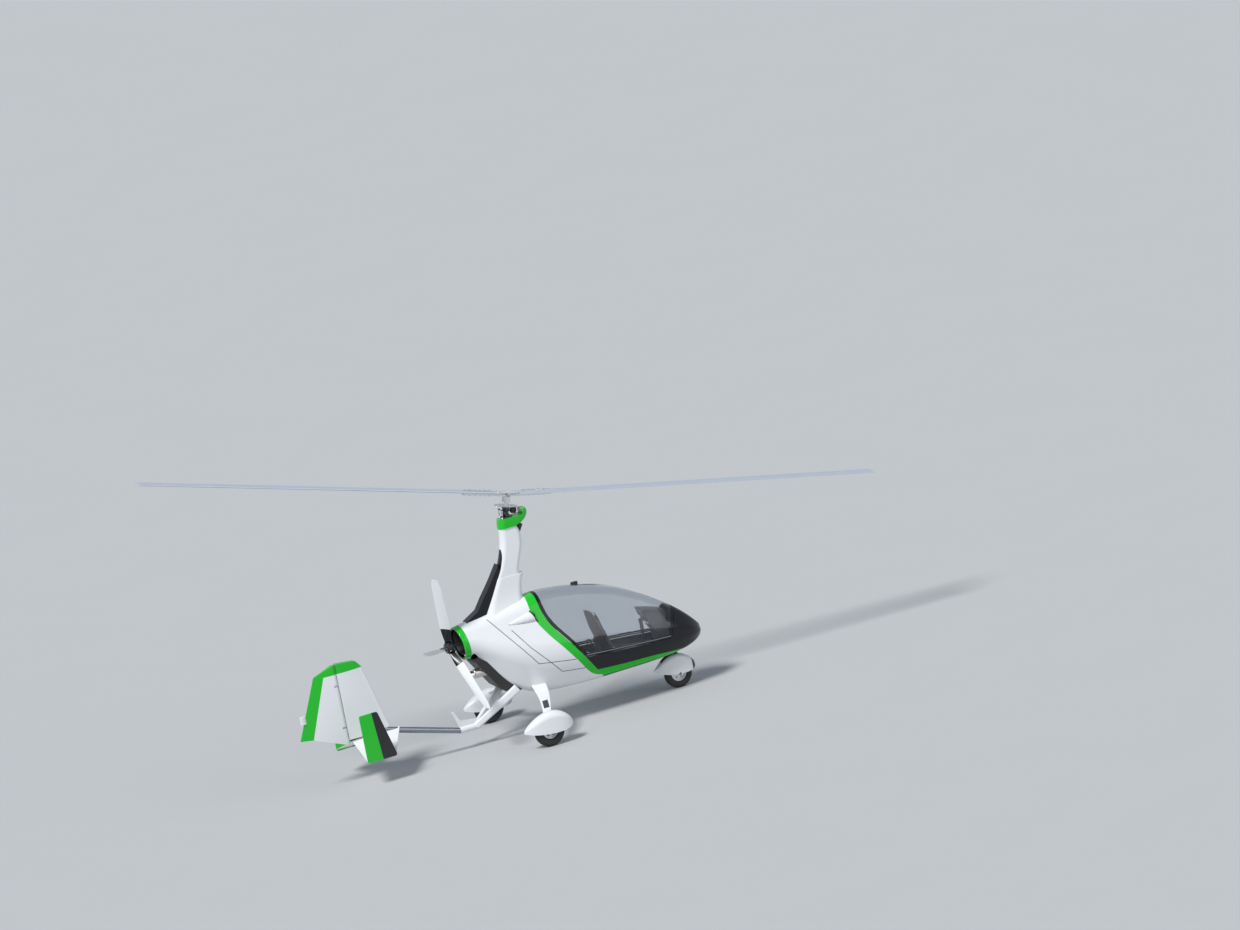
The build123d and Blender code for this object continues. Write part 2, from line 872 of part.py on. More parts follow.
# Tail fork, boom and surfaces
arm_half_spread = 205
arm_front = (-18, 566)
arm_rear = (-500, boom_start_height)
fork_radius = boom_radius + 6
fork_sleeve = 234
horn_half_width = 13
slope = math.radians(boom_slope)
boom_direction = Vector(-math.cos(slope), 0, math.sin(slope))
boom_origin = Vector(at(boom_start_station), 0, boom_start_height)
boom_plane = Plane(origin=boom_origin, x_dir=(0, 1, 0), z_dir=boom_direction)

with BuildPart() as tail_fork:
    for facing in (1, -1):
        start = Vector(at(arm_front[0]), facing * arm_half_spread, arm_front[1])
        end = Vector(at(arm_rear[0]), facing * 14, arm_rear[1])
        run = (end - start).normalized()
        with BuildPart(mode=Mode.PRIVATE) as arm_solid:
            with BuildSketch(Plane(origin=start, x_dir=(0, 0, 1), z_dir=run)):
                RectangleRounded(96, 52, 24)
            with BuildSketch(Plane(origin=end, x_dir=(0, 0, 1), z_dir=run)):
                RectangleRounded(72, 46, 21)
            loft()
        add(arm_solid.part)
    with BuildSketch(Plane.YZ.offset(at(boom_start_station))):
        with Locations((0, boom_start_height)):
            Circle(fork_radius)
    extrude(amount=fork_sleeve)
    with BuildSketch(Plane.XZ):
        with BuildLine():
            horn = [
                (-690, boom_start_height),
                (-706, 300),
                (-750, 452),
                (-732, 456),
                (-672, 338),
                (-480, 318),
                (-430, boom_start_height),
            ]
            FilletPolyline(*side(horn), radius=[0, 40, 6, 6, 50, 60, 0], close=True)
        make_face()
    extrude(amount=horn_half_width, both=True)
    add(skin.part, mode=Mode.SUBTRACT)

with BuildPart() as tail_boom:
    with BuildSketch(boom_plane):
        Circle(boom_radius)
    extrude(amount=boom_length)
    add(tail_fork.part, mode=Mode.SUBTRACT)

# Leading edge of the fin and trailing edge of the rudder, as (station, height) pairs
fin_lead = ((-1482, 530), (-1661, 1220))
rudder_trail = ((-2520, 624), (-2235, 1260))
fin_rear = hinge_station + hinge_nose_radius + moving_gap


def along(pair, height):
    """Station of a slanted edge at a height."""
    (x0, z0), (x1, z1) = pair
    return x0 + (x1 - x0) * (height - z0) / (z1 - z0)


levels = (400, 1400)

with BuildPart() as fin:
    for level in levels:
        lead = at(along(fin_lead, level))
        rear = at(fin_rear)
        with BuildSketch(Plane.XY.offset(level)):
            with BuildLine():
                ThreePointArc((lead - 26, 17), (lead, 0), (lead - 26, -17))
                ThreePointArc((lead - 26, -17), ((lead + rear) / 2, -33), (rear, -30))
                Line((rear, -30), (rear, 30))
                ThreePointArc((rear, 30), ((lead + rear) / 2, 33), (lead - 26, 17))
            make_face()
    loft()
    with BuildSketch(Plane.XZ):
        with BuildLine():
            fin_side = [
                (fin_rear + 400, fin_bottom),
                (hinge_station, fin_bottom),
                (hinge_station, tail_top - 6),
                (hinge_station + 70, tail_top),
                (-1735, tail_top - 20),
                (-1664, fin_shoulder),
                (-1400, fin_shoulder - 700),
            ]
            FilletPolyline(*side(fin_side), radius=[0, 0, 0, 0, 60, 0, 0], close=True)
        make_face()
    extrude(amount=60, both=True, mode=Mode.INTERSECT)

rudder_clip = [
    (hinge_station + 60, 448),
    (hinge_station, 448),
    (-2384, 598),
    (-2540, 622),
    (-2540, 1200),
    (-2238, 1262),
    (hinge_station + 10, tail_top - 6),
    (hinge_station + 60, tail_top - 6),
]

with BuildPart() as rudder:
    for level in levels:
        trail = at(along(rudder_trail, level))
        hinge = at(hinge_station)
        with BuildSketch(Plane.XY.offset(level)):
            with BuildLine():
                nose = hinge_nose_radius
                ThreePointArc((hinge, -nose), (hinge + nose, 0), (hinge, nose))
                Line((hinge, nose), (trail, 4))
                Line((trail, 4), (trail, -4))
                Line((trail, -4), (hinge, -nose))
            make_face()
    loft(ruled=True)
    with BuildSketch(Plane.XZ):
        with BuildLine():
            Polyline(*side(rudder_clip), close=True)
        make_face()
    extrude(amount=60, both=True, mode=Mode.INTERSECT)

# Hinge brackets on the fin hold the rudder's pins in notches.
bracket_heights = (640, 1110)
bracket_height = 14
bracket_radius = 13
notch_height = bracket_height + 2 * moving_gap
notch_depth = bracket_radius + moving_gap

with BuildPart() as fin_brackets:
    for height in bracket_heights:
        with BuildSketch(Plane.XY.offset(height - bracket_height / 2)):
            with Locations((at(hinge_station), 0)):
                Circle(bracket_radius)
            with Locations((at((hinge_station + fin_rear) / 2) + 1, 0)):
                Rectangle(fin_rear - hinge_station + 2, 18)
            with Locations((at(hinge_station), 0)):
                Circle(hinge_pin_radius + running_gap, mode=Mode.SUBTRACT)
        extrude(amount=bracket_height)

with BuildPart() as finished_fin:
    add(fin.part)
    add(fin_brackets.part)
    with BuildSketch(boom_plane):
        Circle(boom_radius)
    extrude(amount=boom_length, mode=Mode.SUBTRACT)

with BuildPart() as finished_rudder:
    add(rudder.part)
    for height in bracket_heights:
        with BuildSketch(Plane.XY.offset(height - notch_height / 2)):
            with Locations((at(hinge_station) + 100 - notch_depth, 0)):
                Rectangle(200, 120)
        extrude(amount=notch_height, mode=Mode.SUBTRACT)
        with BuildSketch(Plane.XY.offset(height - notch_height / 2 - 1)):
            with Locations((at(hinge_station), 0)):
                Circle(hinge_pin_radius)
        extrude(amount=notch_height + 2)

# Stabiliser: two halves drooping to the end plates.
# half span, leading and trailing station, height, thickness
stabiliser_rows = [
    (0, -1367, -1938, 466, 34),
    (stabiliser_half_span - end_plate_thickness / 2, -1628, -1975, 308, 20),
]


def lens(lead, trail, height, thick):
    """Section of a thin surface with a round nose and a blunt rear edge."""
    nose = lead - thick * 0.35
    ThreePointArc((nose, height - thick * 0.3), (lead, height), (nose, height + thick * 0.3))
    ThreePointArc((nose, height + thick * 0.3), (lead - (lead - trail) * 0.38, height + thick / 2), (trail, height + 2))
    Line((trail, height + 2), (trail, height - 2))
    ThreePointArc((trail, height - 2), (lead - (lead - trail) * 0.38, height - thick / 2), (nose, height - thick * 0.3))


with BuildPart() as stabiliser:
    for facing in (1, -1):
        with BuildPart(mode=Mode.PRIVATE) as half:
            for span, lead, trail, height, thick in stabiliser_rows:
                with BuildSketch(Plane.XZ.offset(-facing * span)):
                    with BuildLine():
                        lens(at(lead), at(trail), height, thick)
                    make_face()
            loft()
        add(half.part)
    add(finished_fin.part, mode=Mode.SUBTRACT)
    with BuildSketch(boom_plane):
        Circle(boom_radius)
    extrude(amount=boom_length, mode=Mode.SUBTRACT)

with BuildPart() as end_plates:
    for facing in (1, -1):
        with BuildSketch(Plane.XZ.offset(-facing * (stabiliser_half_span - end_plate_thickness / 2))):
            with BuildLine():
                plate = [
                    (-1973, 290),
                    (-1618, 290),
                    (-1758, 822),
                    (-1973, 822),
                ]
                FilletPolyline(*side(plate), radius=[20, 24, 30, 20], close=True)
            make_face()
        extrude(amount=-facing * end_plate_thickness)

# Main gear: a tapered leg on each side, a knuckle with its axle, and a pant over the wheel
main_wheel_y = wheel_track / 2
knuckle_thickness = 9
pant_clearance = 6
knuckle_inner = main_wheel_y - pant_half_width + pant_wall + pant_clearance
axle_outer = main_wheel_y + pant_half_width - pant_wall - pant_clearance
# distance from mid-plane, station, height, chord, thickness
leg_rows = [
    (200, 228, 532, 166, 34),
    (400, 185, 470, 146, 30),
    (620, 112, 412, 116, 26),
    (main_wheel_y - pant_half_width + 20, 42, 348, 98, 22),
]
# station from the axle, half width, bottom, top
pant_rows = [
    (-288, 10, 208, 232),
    (-205, 56, 180, 300),
    (-90, 78, 158, 356),
    (50, 86, 146, 382),
    (165, 80, 148, 354),
    (246, 56, 164, 292),
    (280, 24, 190, 238),
]
nose_pant_rows = [
    (-262, 10, 236, 262),
    (-190, 48, 196, 322),
    (-100, 72, 172, 376),
    (0, 82, 160, 386),
    (100, 80, 160, 352),
    (175, 56, 172, 294),
    (208, 26, 196, 242),
]
pant_roundness = 0.82
pant_skirt = 80


def pod(rows, station, y, wall):
    """Teardrop form through upright sections, running below its skirt; with a wall it is the space inside."""
    ends = {rows[0][0]: wall, rows[-1][0]: -wall}
    with BuildPart() as body:
        for x, half, low, high in rows:
            width = 2 * (half - wall)
            height = high - low + pant_skirt - 2 * wall
            corner = pant_roundness * min(width, height) / 2
            with BuildSketch(Plane.YZ.offset(at(station + x + ends.get(x, 0)))):
                with Locations((y, (low + high - pant_skirt) / 2)):
                    RectangleRounded(width, height, corner)
        loft(ruled=wall > 0)
    return body.part


def shell_pod(rows, station, y):
    """Teardrop shell, open below its skirt line for the wheel."""
    solid = pod(rows, station, y, 0)
    space = pod(rows, station, y, pant_wall)
    with BuildPart() as shell:
        add(solid)
        add(space, mode=Mode.SUBTRACT)
        with BuildSketch(Plane.XZ):
            with BuildLine():
                skirt = [(station + x, low) for x, half, low, high in rows]
                below = [(station + rows[-1][0] + 60, -60), (station + rows[0][0] - 60, -60)]
                ends = [(below[0][0], skirt[-1][1])], [(below[1][0], skirt[0][1])]
                Polyline(*side(ends[1] + skirt + ends[0] + below), close=True)
            make_face()
        extrude(amount=2000, both=True, mode=Mode.SUBTRACT)
    return shell.part


with BuildPart() as main_pants:
    for facing in (1, -1):
        add(shell_pod(pant_rows, 0, facing * main_wheel_y))

with BuildPart() as main_legs:
    for facing in (1, -1):
        with BuildPart(mode=Mode.PRIVATE) as leg:
            for span, station, height, chord, thick in leg_rows:
                with BuildSketch(Plane.XZ.offset(-facing * span)):
                    with Locations((at(station), height)):
                        RectangleRounded(chord, thick, thick * 0.42)
            loft()
        add(leg.part)
        add(pod(pant_rows, 0, facing * main_wheel_y, 0), mode=Mode.SUBTRACT)
    add(skin.part, mode=Mode.SUBTRACT)

with BuildPart() as main_axles:
    for facing in (1, -1):
        with BuildSketch(Plane.XZ.offset(-facing * knuckle_inner)):
            with BuildLine():
                knuckle = [
                    (-30, main_tyre_radius - 34),
                    (30, main_tyre_radius - 34),
                    (42, main_tyre_radius + 104),
                    (-12, main_tyre_radius + 104),
                ]
                FilletPolyline(*side(knuckle), radius=[24, 24, 12, 12], close=True)
            make_face()
        extrude(amount=-facing * knuckle_thickness)
        with BuildSketch(Plane.XZ.offset(-facing * knuckle_inner)):
            with Locations((at(0), main_tyre_radius)):
                Circle(axle_radius)
        extrude(amount=-facing * (axle_outer - knuckle_inner))

# Wheels: a rounded tyre on a dished rim with a hub tube, spinning about Y
rim_lip = 7
hub_radius = 24


def tyre_outline(radius, width):
    """Half section of a tyre, radius along local x and width along local y."""
    half = width / 2
    points = [
        (rim_radius, -half * 0.62),
        (rim_radius + 14, -half),
        (radius - 24, -half),
        (radius, -half * 0.34),
        (radius, half * 0.34),
        (radius - 24, half),
        (rim_radius + 14, half),
        (rim_radius, half * 0.62),
    ]
    FilletPolyline(*points, radius=[0, 8, 26, 18, 18, 26, 8, 0], close=True)


def wheel_plane(station, y, height):
    """Plane holding a wheel's half section: x outward, y along the axle."""
    return Plane(origin=(at(station), y, height), x_dir=(1, 0, 0), z_dir=(0, 0, 1))


def tyre(station, y, radius, width):
    """Tyre of one wheel."""
    place = wheel_plane(station, y, radius)
    with BuildPart() as rubber:
        with BuildSketch(place):
            with BuildLine():
                tyre_outline(radius, width)
            make_face()
        revolve(axis=Axis((at(station), y, radius), (0, 1, 0)))
    return rubber.part


def rim(station, y, radius, width):
    """Rim, web and hub tube of one wheel."""
    place = wheel_plane(station, y, radius)
    half = width * 0.31
    bore = axle_radius + running_gap
    with BuildPart() as metal:
        with BuildSketch(place):
            with BuildLine():
                points = [
                    (bore, -half - 4),
                    (hub_radius, -half - 4),
                    (hub_radius, -6),
                    (rim_radius - rim_lip, -6),
                    (rim_radius - rim_lip, -half),
                    (rim_radius, -half),
                    (rim_radius, half),
                    (rim_radius - rim_lip, half),
                    (rim_radius - rim_lip, 6),
                    (hub_radius, 6),
                    (hub_radius, half + 4),
                    (bore, half + 4),
                ]
                Polyline(*points, close=True)
            make_face()
        revolve(axis=Axis((at(station), y, radius), (0, 1, 0)))
        with BuildSketch(Plane.XZ.offset(-y - width / 2)):
            with Locations((at(station), radius)):
                with PolarLocations((rim_radius + hub_radius) / 2 - 2, 6):
                    Circle(13)
        extrude(amount=width, mode=Mode.SUBTRACT)
    return metal.part


# Nose gear: stem, crown and two fork blades inside the pant, with the axle
fork_inner = nose_tyre_width / 2 + moving_gap + 1
fork_blade = 7
crown_low = 2 * nose_tyre_radius + moving_gap + 2
crown_height = 14

with BuildPart() as nose_fork:
    with BuildSketch(Plane.XY.offset(crown_low)):
        with Locations((at((wheel_base + steering_station) / 2), 0)):
            RectangleRounded(70, 2 * (fork_inner + fork_blade), 8)
    extrude(amount=crown_height)
    for facing in (1, -1):
        with BuildSketch(Plane.XZ.offset(-facing * fork_inner)):
            with BuildLine():
                blade_side = [
                    (wheel_base - 18, nose_tyre_radius - 16),
                    (wheel_base + 18, nose_tyre_radius - 16),
                    (steering_station + 22, crown_low + crown_height),
                    (wheel_base - 20, crown_low + crown_height),
                ]
                FilletPolyline(*side(blade_side), radius=[14, 14, 0, 0], close=True)
            make_face()
        extrude(amount=-facing * fork_blade)
    with BuildSketch(Plane.XZ):
        with Locations((at(wheel_base), nose_tyre_radius)):
            Circle(axle_radius)
    extrude(amount=fork_inner + fork_blade, both=True)
    with BuildSketch(Plane.XZ):
        with Locations((at(wheel_base), nose_tyre_radius)):
            Circle(tow_bore_radius)
    extrude(amount=nose_pant_half_width, both=True, mode=Mode.SUBTRACT)
    with BuildSketch(Plane.XY.offset(crown_low + crown_height)):
        with Locations((at(steering_station), 0)):
            Circle(stem_radius)
    extrude(amount=stem_top - crown_low - crown_height)

with BuildPart() as nose_pant:
    add(shell_pod(nose_pant_rows, wheel_base, 0))
    with BuildSketch(Plane.XY.offset(crown_low)):
        with Locations((at(steering_station), 0)):
            Circle(stem_radius + running_gap)
    extrude(amount=200, mode=Mode.SUBTRACT)
    with BuildSketch(Plane.XZ):
        with Locations((at(wheel_base), nose_tyre_radius)):
            Circle(axle_radius + 3)
    extrude(amount=200, both=True, mode=Mode.SUBTRACT)
    add(nose_fork.part, mode=Mode.SUBTRACT)

# Exhaust and the radiator duct below the cowl
exhaust_radius = 52
with BuildPart() as exhaust:
    with BuildSketch(Plane.YZ.offset(at(-250))):
        with Locations((-70, 815)):
            Circle(exhaust_radius)
    extrude(amount=-190)
    fillet(exhaust.edges().filter_by(GeomType.CIRCLE), radius=14)
    with BuildSketch(Plane.YZ.offset(at(-438))):
        with Locations((-70, 800)):
            Circle(24)
    extrude(amount=-80)
    with BuildSketch(Plane.XY.offset(840)):
        with Locations((at(-300), -70)):
            Circle(20)
    extrude(amount=200)
    add(skin.part, mode=Mode.SUBTRACT)


duct_half_width = 150
with BuildPart() as radiator_duct:
    with BuildSketch(Plane.XZ):
        with BuildLine():
            scoop = [
                (120, 620),
                (90, 545),
                (-40, 480),
                (-200, 610),
                (-410, 945),
                (-380, 1000),
            ]
            FilletPolyline(*side(scoop), radius=[0, 0, 20, 40, 10, 0], close=True)
        make_face()
    extrude(amount=duct_half_width, both=True)
    add(skin.part, mode=Mode.SUBTRACT)
    add(exhaust.part, mode=Mode.SUBTRACT)
    add(tail_fork.part, mode=Mode.SUBTRACT)

# Tail light on the rudder's rear edge
light_height = 838
with BuildPart() as tail_light:
    with BuildSketch(Plane.XY.offset(light_height - 45)):
        with Locations((at(along(rudder_trail, light_height)) - 20, 0)):
            Ellipse(34, 13)
    extrude(amount=90)
    chamfer(tail_light.faces().sort_by(Axis.Z)[-1].edges(), length=4)
    add(finished_rudder.part, mode=Mode.SUBTRACT)

# Vent knob on the canopy's crown
vent_station = 940
with BuildPart() as canopy_vent:
    with BuildSketch(Plane.XY.offset(1380)):
        with Locations((at(vent_station), 0)):
            RectangleRounded(78, 46, 18)
    extrude(amount=92)
    add(skin.part, mode=Mode.SUBTRACT)

pieces = {
    "nose_tub": nose_tub.part,
    "rear_body": rear_body.part,
    "cabin_floor": cabin_floor.part,
    "engine_block": engine.part,
    "cowl_ring": cowl_ring.part,
    "front_seat": seats["front"],
    "rear_seat": seats["rear"],
    "front_cushions": cushions["front"],
    "rear_cushions": cushions["rear"],
    "instrument_panel": instrument_panel.part,
    "cabin_controls": cabin_controls.part,
    "mast_fairing": mast_fairing.part,
    "mast_cap": mast_cap.part,
    "mast_duct": mast_duct.part,
    "head_base": head_base.part,
    "head_cross": head_cross.part,
    "head_block": head_block.part,
    "rotor_shaft": rotor_shaft.part,
    "gear_disc": gear_disc.part,
    "hub_bar": hub_bar.part,
    "rotor_blades": rotor_blades.part,
    "prop_hub": prop_hub.part,
    "prop_blades": prop_blades.part,
    "tail_fork": tail_fork.part,
    "tail_boom": tail_boom.part,
    "fin": finished_fin.part,
    "rudder": finished_rudder.part,
    "tail_light": tail_light.part,
    "stabiliser": stabiliser.part,
    "end_plates": end_plates.part,
    "main_legs": main_legs.part,
    "main_axles": main_axles.part,
    "main_pants": main_pants.part,
    "nose_fork": nose_fork.part,
    "nose_pant": nose_pant.part,
    "exhaust": exhaust.part,
    "radiator_duct": radiator_duct.part,
    "canopy_frame": finished_frame.part,
    "canopy_glass": canopy_glass.part,
    "canopy_vent": canopy_vent.part,
    "left_tyre": tyre(0, main_wheel_y, main_tyre_radius, main_tyre_width),
    "left_rim": rim(0, main_wheel_y, main_tyre_radius, main_tyre_width),
    "right_tyre": tyre(0, -main_wheel_y, main_tyre_radius, main_tyre_width),
    "right_rim": rim(0, -main_wheel_y, main_tyre_radius, main_tyre_width),
    "nose_tyre": tyre(wheel_base, 0, nose_tyre_radius, nose_tyre_width),
    "nose_rim": rim(wheel_base, 0, nose_tyre_radius, nose_tyre_width),
}

for name, piece in pieces.items():
    piece.label = name
    export_step(piece, f"parts/{name}.step")
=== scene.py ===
# %% [markdown]
# A two-seat gyroplane with a long teetering rotor, dressed over its CAD frame.
# The first cell loads that frame. Every CAD node comes in with its place in its mesh,
# so a piece made here in metres lands where the CAD says, with no fitting.

# %% Load the frame
import math

import bmesh
import bpy
from mathutils import Matrix, Vector


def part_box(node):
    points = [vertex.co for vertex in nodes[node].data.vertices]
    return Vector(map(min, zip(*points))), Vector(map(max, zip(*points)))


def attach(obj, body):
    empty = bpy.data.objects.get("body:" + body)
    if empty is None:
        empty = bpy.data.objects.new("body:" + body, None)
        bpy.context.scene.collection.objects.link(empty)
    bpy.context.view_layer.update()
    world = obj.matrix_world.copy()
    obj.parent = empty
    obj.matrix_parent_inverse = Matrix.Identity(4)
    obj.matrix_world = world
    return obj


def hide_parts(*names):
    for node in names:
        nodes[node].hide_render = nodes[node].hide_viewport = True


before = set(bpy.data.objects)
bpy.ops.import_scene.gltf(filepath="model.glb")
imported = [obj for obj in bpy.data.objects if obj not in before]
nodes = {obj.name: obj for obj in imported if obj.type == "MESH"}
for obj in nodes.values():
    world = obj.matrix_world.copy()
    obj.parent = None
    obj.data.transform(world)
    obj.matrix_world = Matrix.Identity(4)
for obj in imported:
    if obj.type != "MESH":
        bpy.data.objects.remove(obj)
bpy.ops.object.select_all(action="DESELECT")
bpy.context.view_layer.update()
print("loaded", len(nodes), "nodes")

# %% [markdown]
# Places on an aircraft are called stations, measured along its length. Here they start
# at the main wheels' axle, found from the left tyre's own box, and heights start at the ground.

# %% Stations and heights
tyre_low, tyre_high = [Vector(corner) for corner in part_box("left_tyre")]
main_axle = (tyre_low + tyre_high) / 2


def place(station, y, height):
    """A point from its station, its distance to port and its height."""
    return Vector((main_axle.x + station, y, height))


print("main axle at", tuple(round(v, 3) for v in main_axle))

# %% [markdown]
# The camera stands far off on the starboard side, a little behind and above, and it is
# rolled, so the machine climbs to the right as it does in the picture. A long lens
# keeps the front and rear rotor blades nearly the same length.

# %% Camera
view_azimuth = math.radians(-20.6)
view_elevation = math.radians(13.4)
view_roll = math.radians(-11.5)
view_distance = 200.0
pixels_per_metre = 92.0
image_width = 1240
image_height = 930
sighted = place(0.6, 0, 1.1)
sighted_column = 552.1
sighted_row = 622.8

back = Vector((
    math.sin(view_azimuth) * math.cos(view_elevation),
    -math.cos(view_azimuth) * math.cos(view_elevation),
    math.sin(view_elevation),
))
focal_pixels = pixels_per_metre * view_distance
pan = math.atan((image_width / 2 - sighted_column) / focal_pixels)
pitch = math.atan((sighted_row - image_height / 2) / focal_pixels)
camera_data = bpy.data.cameras.new("camera")
camera_data.sensor_width = 36
camera_data.lens = camera_data.sensor_width * focal_pixels / image_width
camera_data.clip_end = 900
camera = bpy.data.objects.new("camera", camera_data)
bpy.context.scene.collection.objects.link(camera)
camera.location = sighted + back * view_distance
turn = back.to_track_quat("Z", "Y").to_matrix().to_4x4()
turn = turn @ Matrix.Rotation(view_roll, 4, "Z")
turn = turn @ Matrix.Rotation(-pan, 4, "Y") @ Matrix.Rotation(pitch, 4, "X")
camera.rotation_euler = turn.to_euler()
bpy.context.scene.camera = camera
print("lens", round(camera_data.lens, 1), "mm")

# %% [markdown]
# The sky, the shared effects and the finishes are all trees of shader nodes. A few small
# functions add the nodes that turn up most, and take a socket or a plain value for each input.

# %% Node helpers
def feed(tree, value, socket):
    """Links a socket to another, or sets a constant on it."""
    if hasattr(value, "is_linked"):
        tree.links.new(value, socket)
    elif value is not None:
        socket.default_value = value


def add_math(tree, operation, a, b=None, clamp=False):
    """One Math node."""
    made = tree.nodes.new("ShaderNodeMath")
    made.operation = operation
    made.use_clamp = clamp
    feed(tree, a, made.inputs[0])
    feed(tree, b, made.inputs[1])
    return made.outputs[0]


def add_vector(tree, operation, a, b=None, scale=None):
    """One Vector Math node, given by its vector or, where it measures, by its value."""
    made = tree.nodes.new("ShaderNodeVectorMath")
    made.operation = operation
    feed(tree, a, made.inputs[0])
    if b is not None:
        feed(tree, b, made.inputs[1])
    if scale is not None:
        feed(tree, scale, made.inputs["Scale"])
    measures = operation in ("DOT_PRODUCT", "DISTANCE", "LENGTH")
    return made.outputs["Value" if measures else "Vector"]


def add_noise(tree, vector, scale, detail, stretch=(1, 1, 1)):
    """Noise on a vector, stretched along an axis where wanted."""
    mapping = tree.nodes.new("ShaderNodeMapping")
    mapping.inputs["Scale"].default_value = stretch
    tree.links.new(vector, mapping.inputs["Vector"])
    made = tree.nodes.new("ShaderNodeTexNoise")
    made.inputs["Scale"].default_value = scale
    made.inputs["Detail"].default_value = detail
    tree.links.new(mapping.outputs["Vector"], made.inputs["Vector"])
    return made.outputs["Fac"]


def add_mix(tree, factor, a, b):
    """One colour Mix node."""
    made = tree.nodes.new("ShaderNodeMix")
    made.data_type = "RGBA"
    feed(tree, factor, made.inputs["Factor"])
    for colour, slot in ((a, "A"), (b, "B")):
        feed(tree, colour if hasattr(colour, "is_linked") else (*colour, 1), made.inputs[slot])
    return made.outputs["Result"]


# %% [markdown]
# Light is a soft key from high on the camera's left, a weak one from its right, and an even
# sky. Sun lamps fall equally on the whole floor, so it stays one pale tone to the horizon,
# where the sky that the camera sees has the same value.

# %% Light, sky and floor
scene = bpy.context.scene
scene.view_settings.view_transform = "Standard"

# name, strength, width of the sun's disc in degrees, and where it shines from
sun_rows = (
    ("key_light", 2.95, 16, (-4.6, -2.6, 6.6)),
    ("rear_light", 0.40, 40, (4.0, -5.0, 3.0)),
)
for name, energy, spread, position in sun_rows:
    lamp = bpy.data.lights.new(name, "SUN")
    lamp.energy = energy
    lamp.angle = math.radians(spread)
    holder = bpy.data.objects.new(name, lamp)
    scene.collection.objects.link(holder)
    holder.rotation_euler = Vector(position).to_track_quat("Z", "Y").to_euler()

world = bpy.data.worlds.new("studio_sky")
scene.world = world
world.use_nodes = True
sky = world.node_tree
sky.nodes.clear()


def sky_tone(colour, strength):
    """One even background of the sky."""
    made = sky.nodes.new("ShaderNodeBackground")
    made.inputs["Color"].default_value = (*colour, 1)
    made.inputs["Strength"].default_value = strength
    return made.outputs[0]


# the lamps' fill is a blue sky, while the camera and clear plastic look at a pale one
rays = sky.nodes.new("ShaderNodeLightPath").outputs
mirrored = add_math(sky, "MULTIPLY", rays["Is Glossy Ray"], 0.35)
seen = add_math(sky, "MAXIMUM", rays["Is Camera Ray"], mirrored)
sky_mix = sky.nodes.new("ShaderNodeMixShader")
sky_out = sky.nodes.new("ShaderNodeOutputWorld")
sky.links.new(add_math(sky, "MAXIMUM", seen, rays["Is Transmission Ray"]), sky_mix.inputs[0])
sky.links.new(sky_tone((0.74, 0.86, 1.0), 0.36), sky_mix.inputs[1])
sky.links.new(sky_tone((0.72, 0.74, 0.76), 1.0), sky_mix.inputs[2])
sky.links.new(sky_mix.outputs[0], sky_out.inputs[0])

floor_radius = 160
bpy.ops.mesh.primitive_circle_add(vertices=96, radius=floor_radius, fill_type="NGON", location=(0, 0, 0))
floor = bpy.context.object
floor.name = "studio_floor"
print("lamps", len(sun_rows), "floor radius", floor_radius, "m")

# %% [markdown]
# Every finish starts from the same few steps: a new material, its Principled shader and
# the coordinates of the point being shaded. A small builder keeps those steps in one place,
# so each finish below only says what is special about it.

# %% Material builder
class Finish:
    """A material with its shader, its coordinates and short ways to add nodes."""

    def __init__(self, name, colour, roughness, metallic=0.0, coat=0.0):
        self.material = bpy.data.materials.new(name)
        self.material.use_nodes = True
        self.tree = self.material.node_tree
        self.shader = self.tree.nodes["Principled BSDF"]
        self.shader.inputs["Base Color"].default_value = (*colour, 1)
        self.shader.inputs["Roughness"].default_value = roughness
        self.shader.inputs["Metallic"].default_value = metallic
        self.shader.inputs["Coat Weight"].default_value = coat
        self.shader.inputs["Coat Roughness"].default_value = 0.04
        known = self.node("ShaderNodeTexCoord").outputs
        self.coordinates = known["Object"]
        self.normal = known["Normal"]

    def node(self, kind, **settings):
        """Adds a node and sets its properties."""
        made = self.tree.nodes.new(kind)
        for key, value in settings.items():
            setattr(made, key, value)
        return made

    def link(self, start, end):
        """Joins two sockets, or sets a constant on the second one."""
        feed(self.tree, start, end)

    def math(self, operation, a, b=None, clamp=False):
        """One Math node."""
        return add_math(self.tree, operation, a, b, clamp)

    def vector(self, operation, a, b=None):
        """One Vector Math node."""
        return add_vector(self.tree, operation, a, b)

    def mix(self, factor, a, b):
        """One colour Mix node."""
        return add_mix(self.tree, factor, a, b)

    def noise(self, scale, detail):
        """Noise on object coordinates."""
        return add_noise(self.tree, self.coordinates, scale, detail)

    def axis(self, letter):
        """One coordinate of the point being shaded."""
        made = self.node("ShaderNodeSeparateXYZ")
        self.link(self.coordinates, made.inputs[0])
        return made.outputs[letter]

    def group(self, tree, **inputs):
        """Places a shared effect on this finish's coordinates, with its own values."""
        made = self.node("ShaderNodeGroup", node_tree=tree)
        self.link(self.coordinates, made.inputs["Vector"])
        for key, value in inputs.items():
            self.link(value, made.inputs[key.capitalize()])
        return made

    def bump(self, height, distance, strength=0.5):
        """Feeds a height into the shader's normal."""
        made = self.node("ShaderNodeBump")
        made.inputs["Distance"].default_value = distance
        made.inputs["Strength"].default_value = strength
        self.link(height, made.inputs["Height"])
        self.link(made.outputs["Normal"], self.shader.inputs["Normal"])

    def colour(self, socket):
        """Feeds the base colour."""
        self.link(socket, self.shader.inputs["Base Color"])

    def roughness(self, socket):
        """Feeds the roughness."""
        self.link(socket, self.shader.inputs["Roughness"])

    def take(self, effect):
        """Takes colour and roughness from a placed effect."""
        self.colour(effect.outputs["Colour"])
        self.roughness(effect.outputs["Roughness"])
        return effect


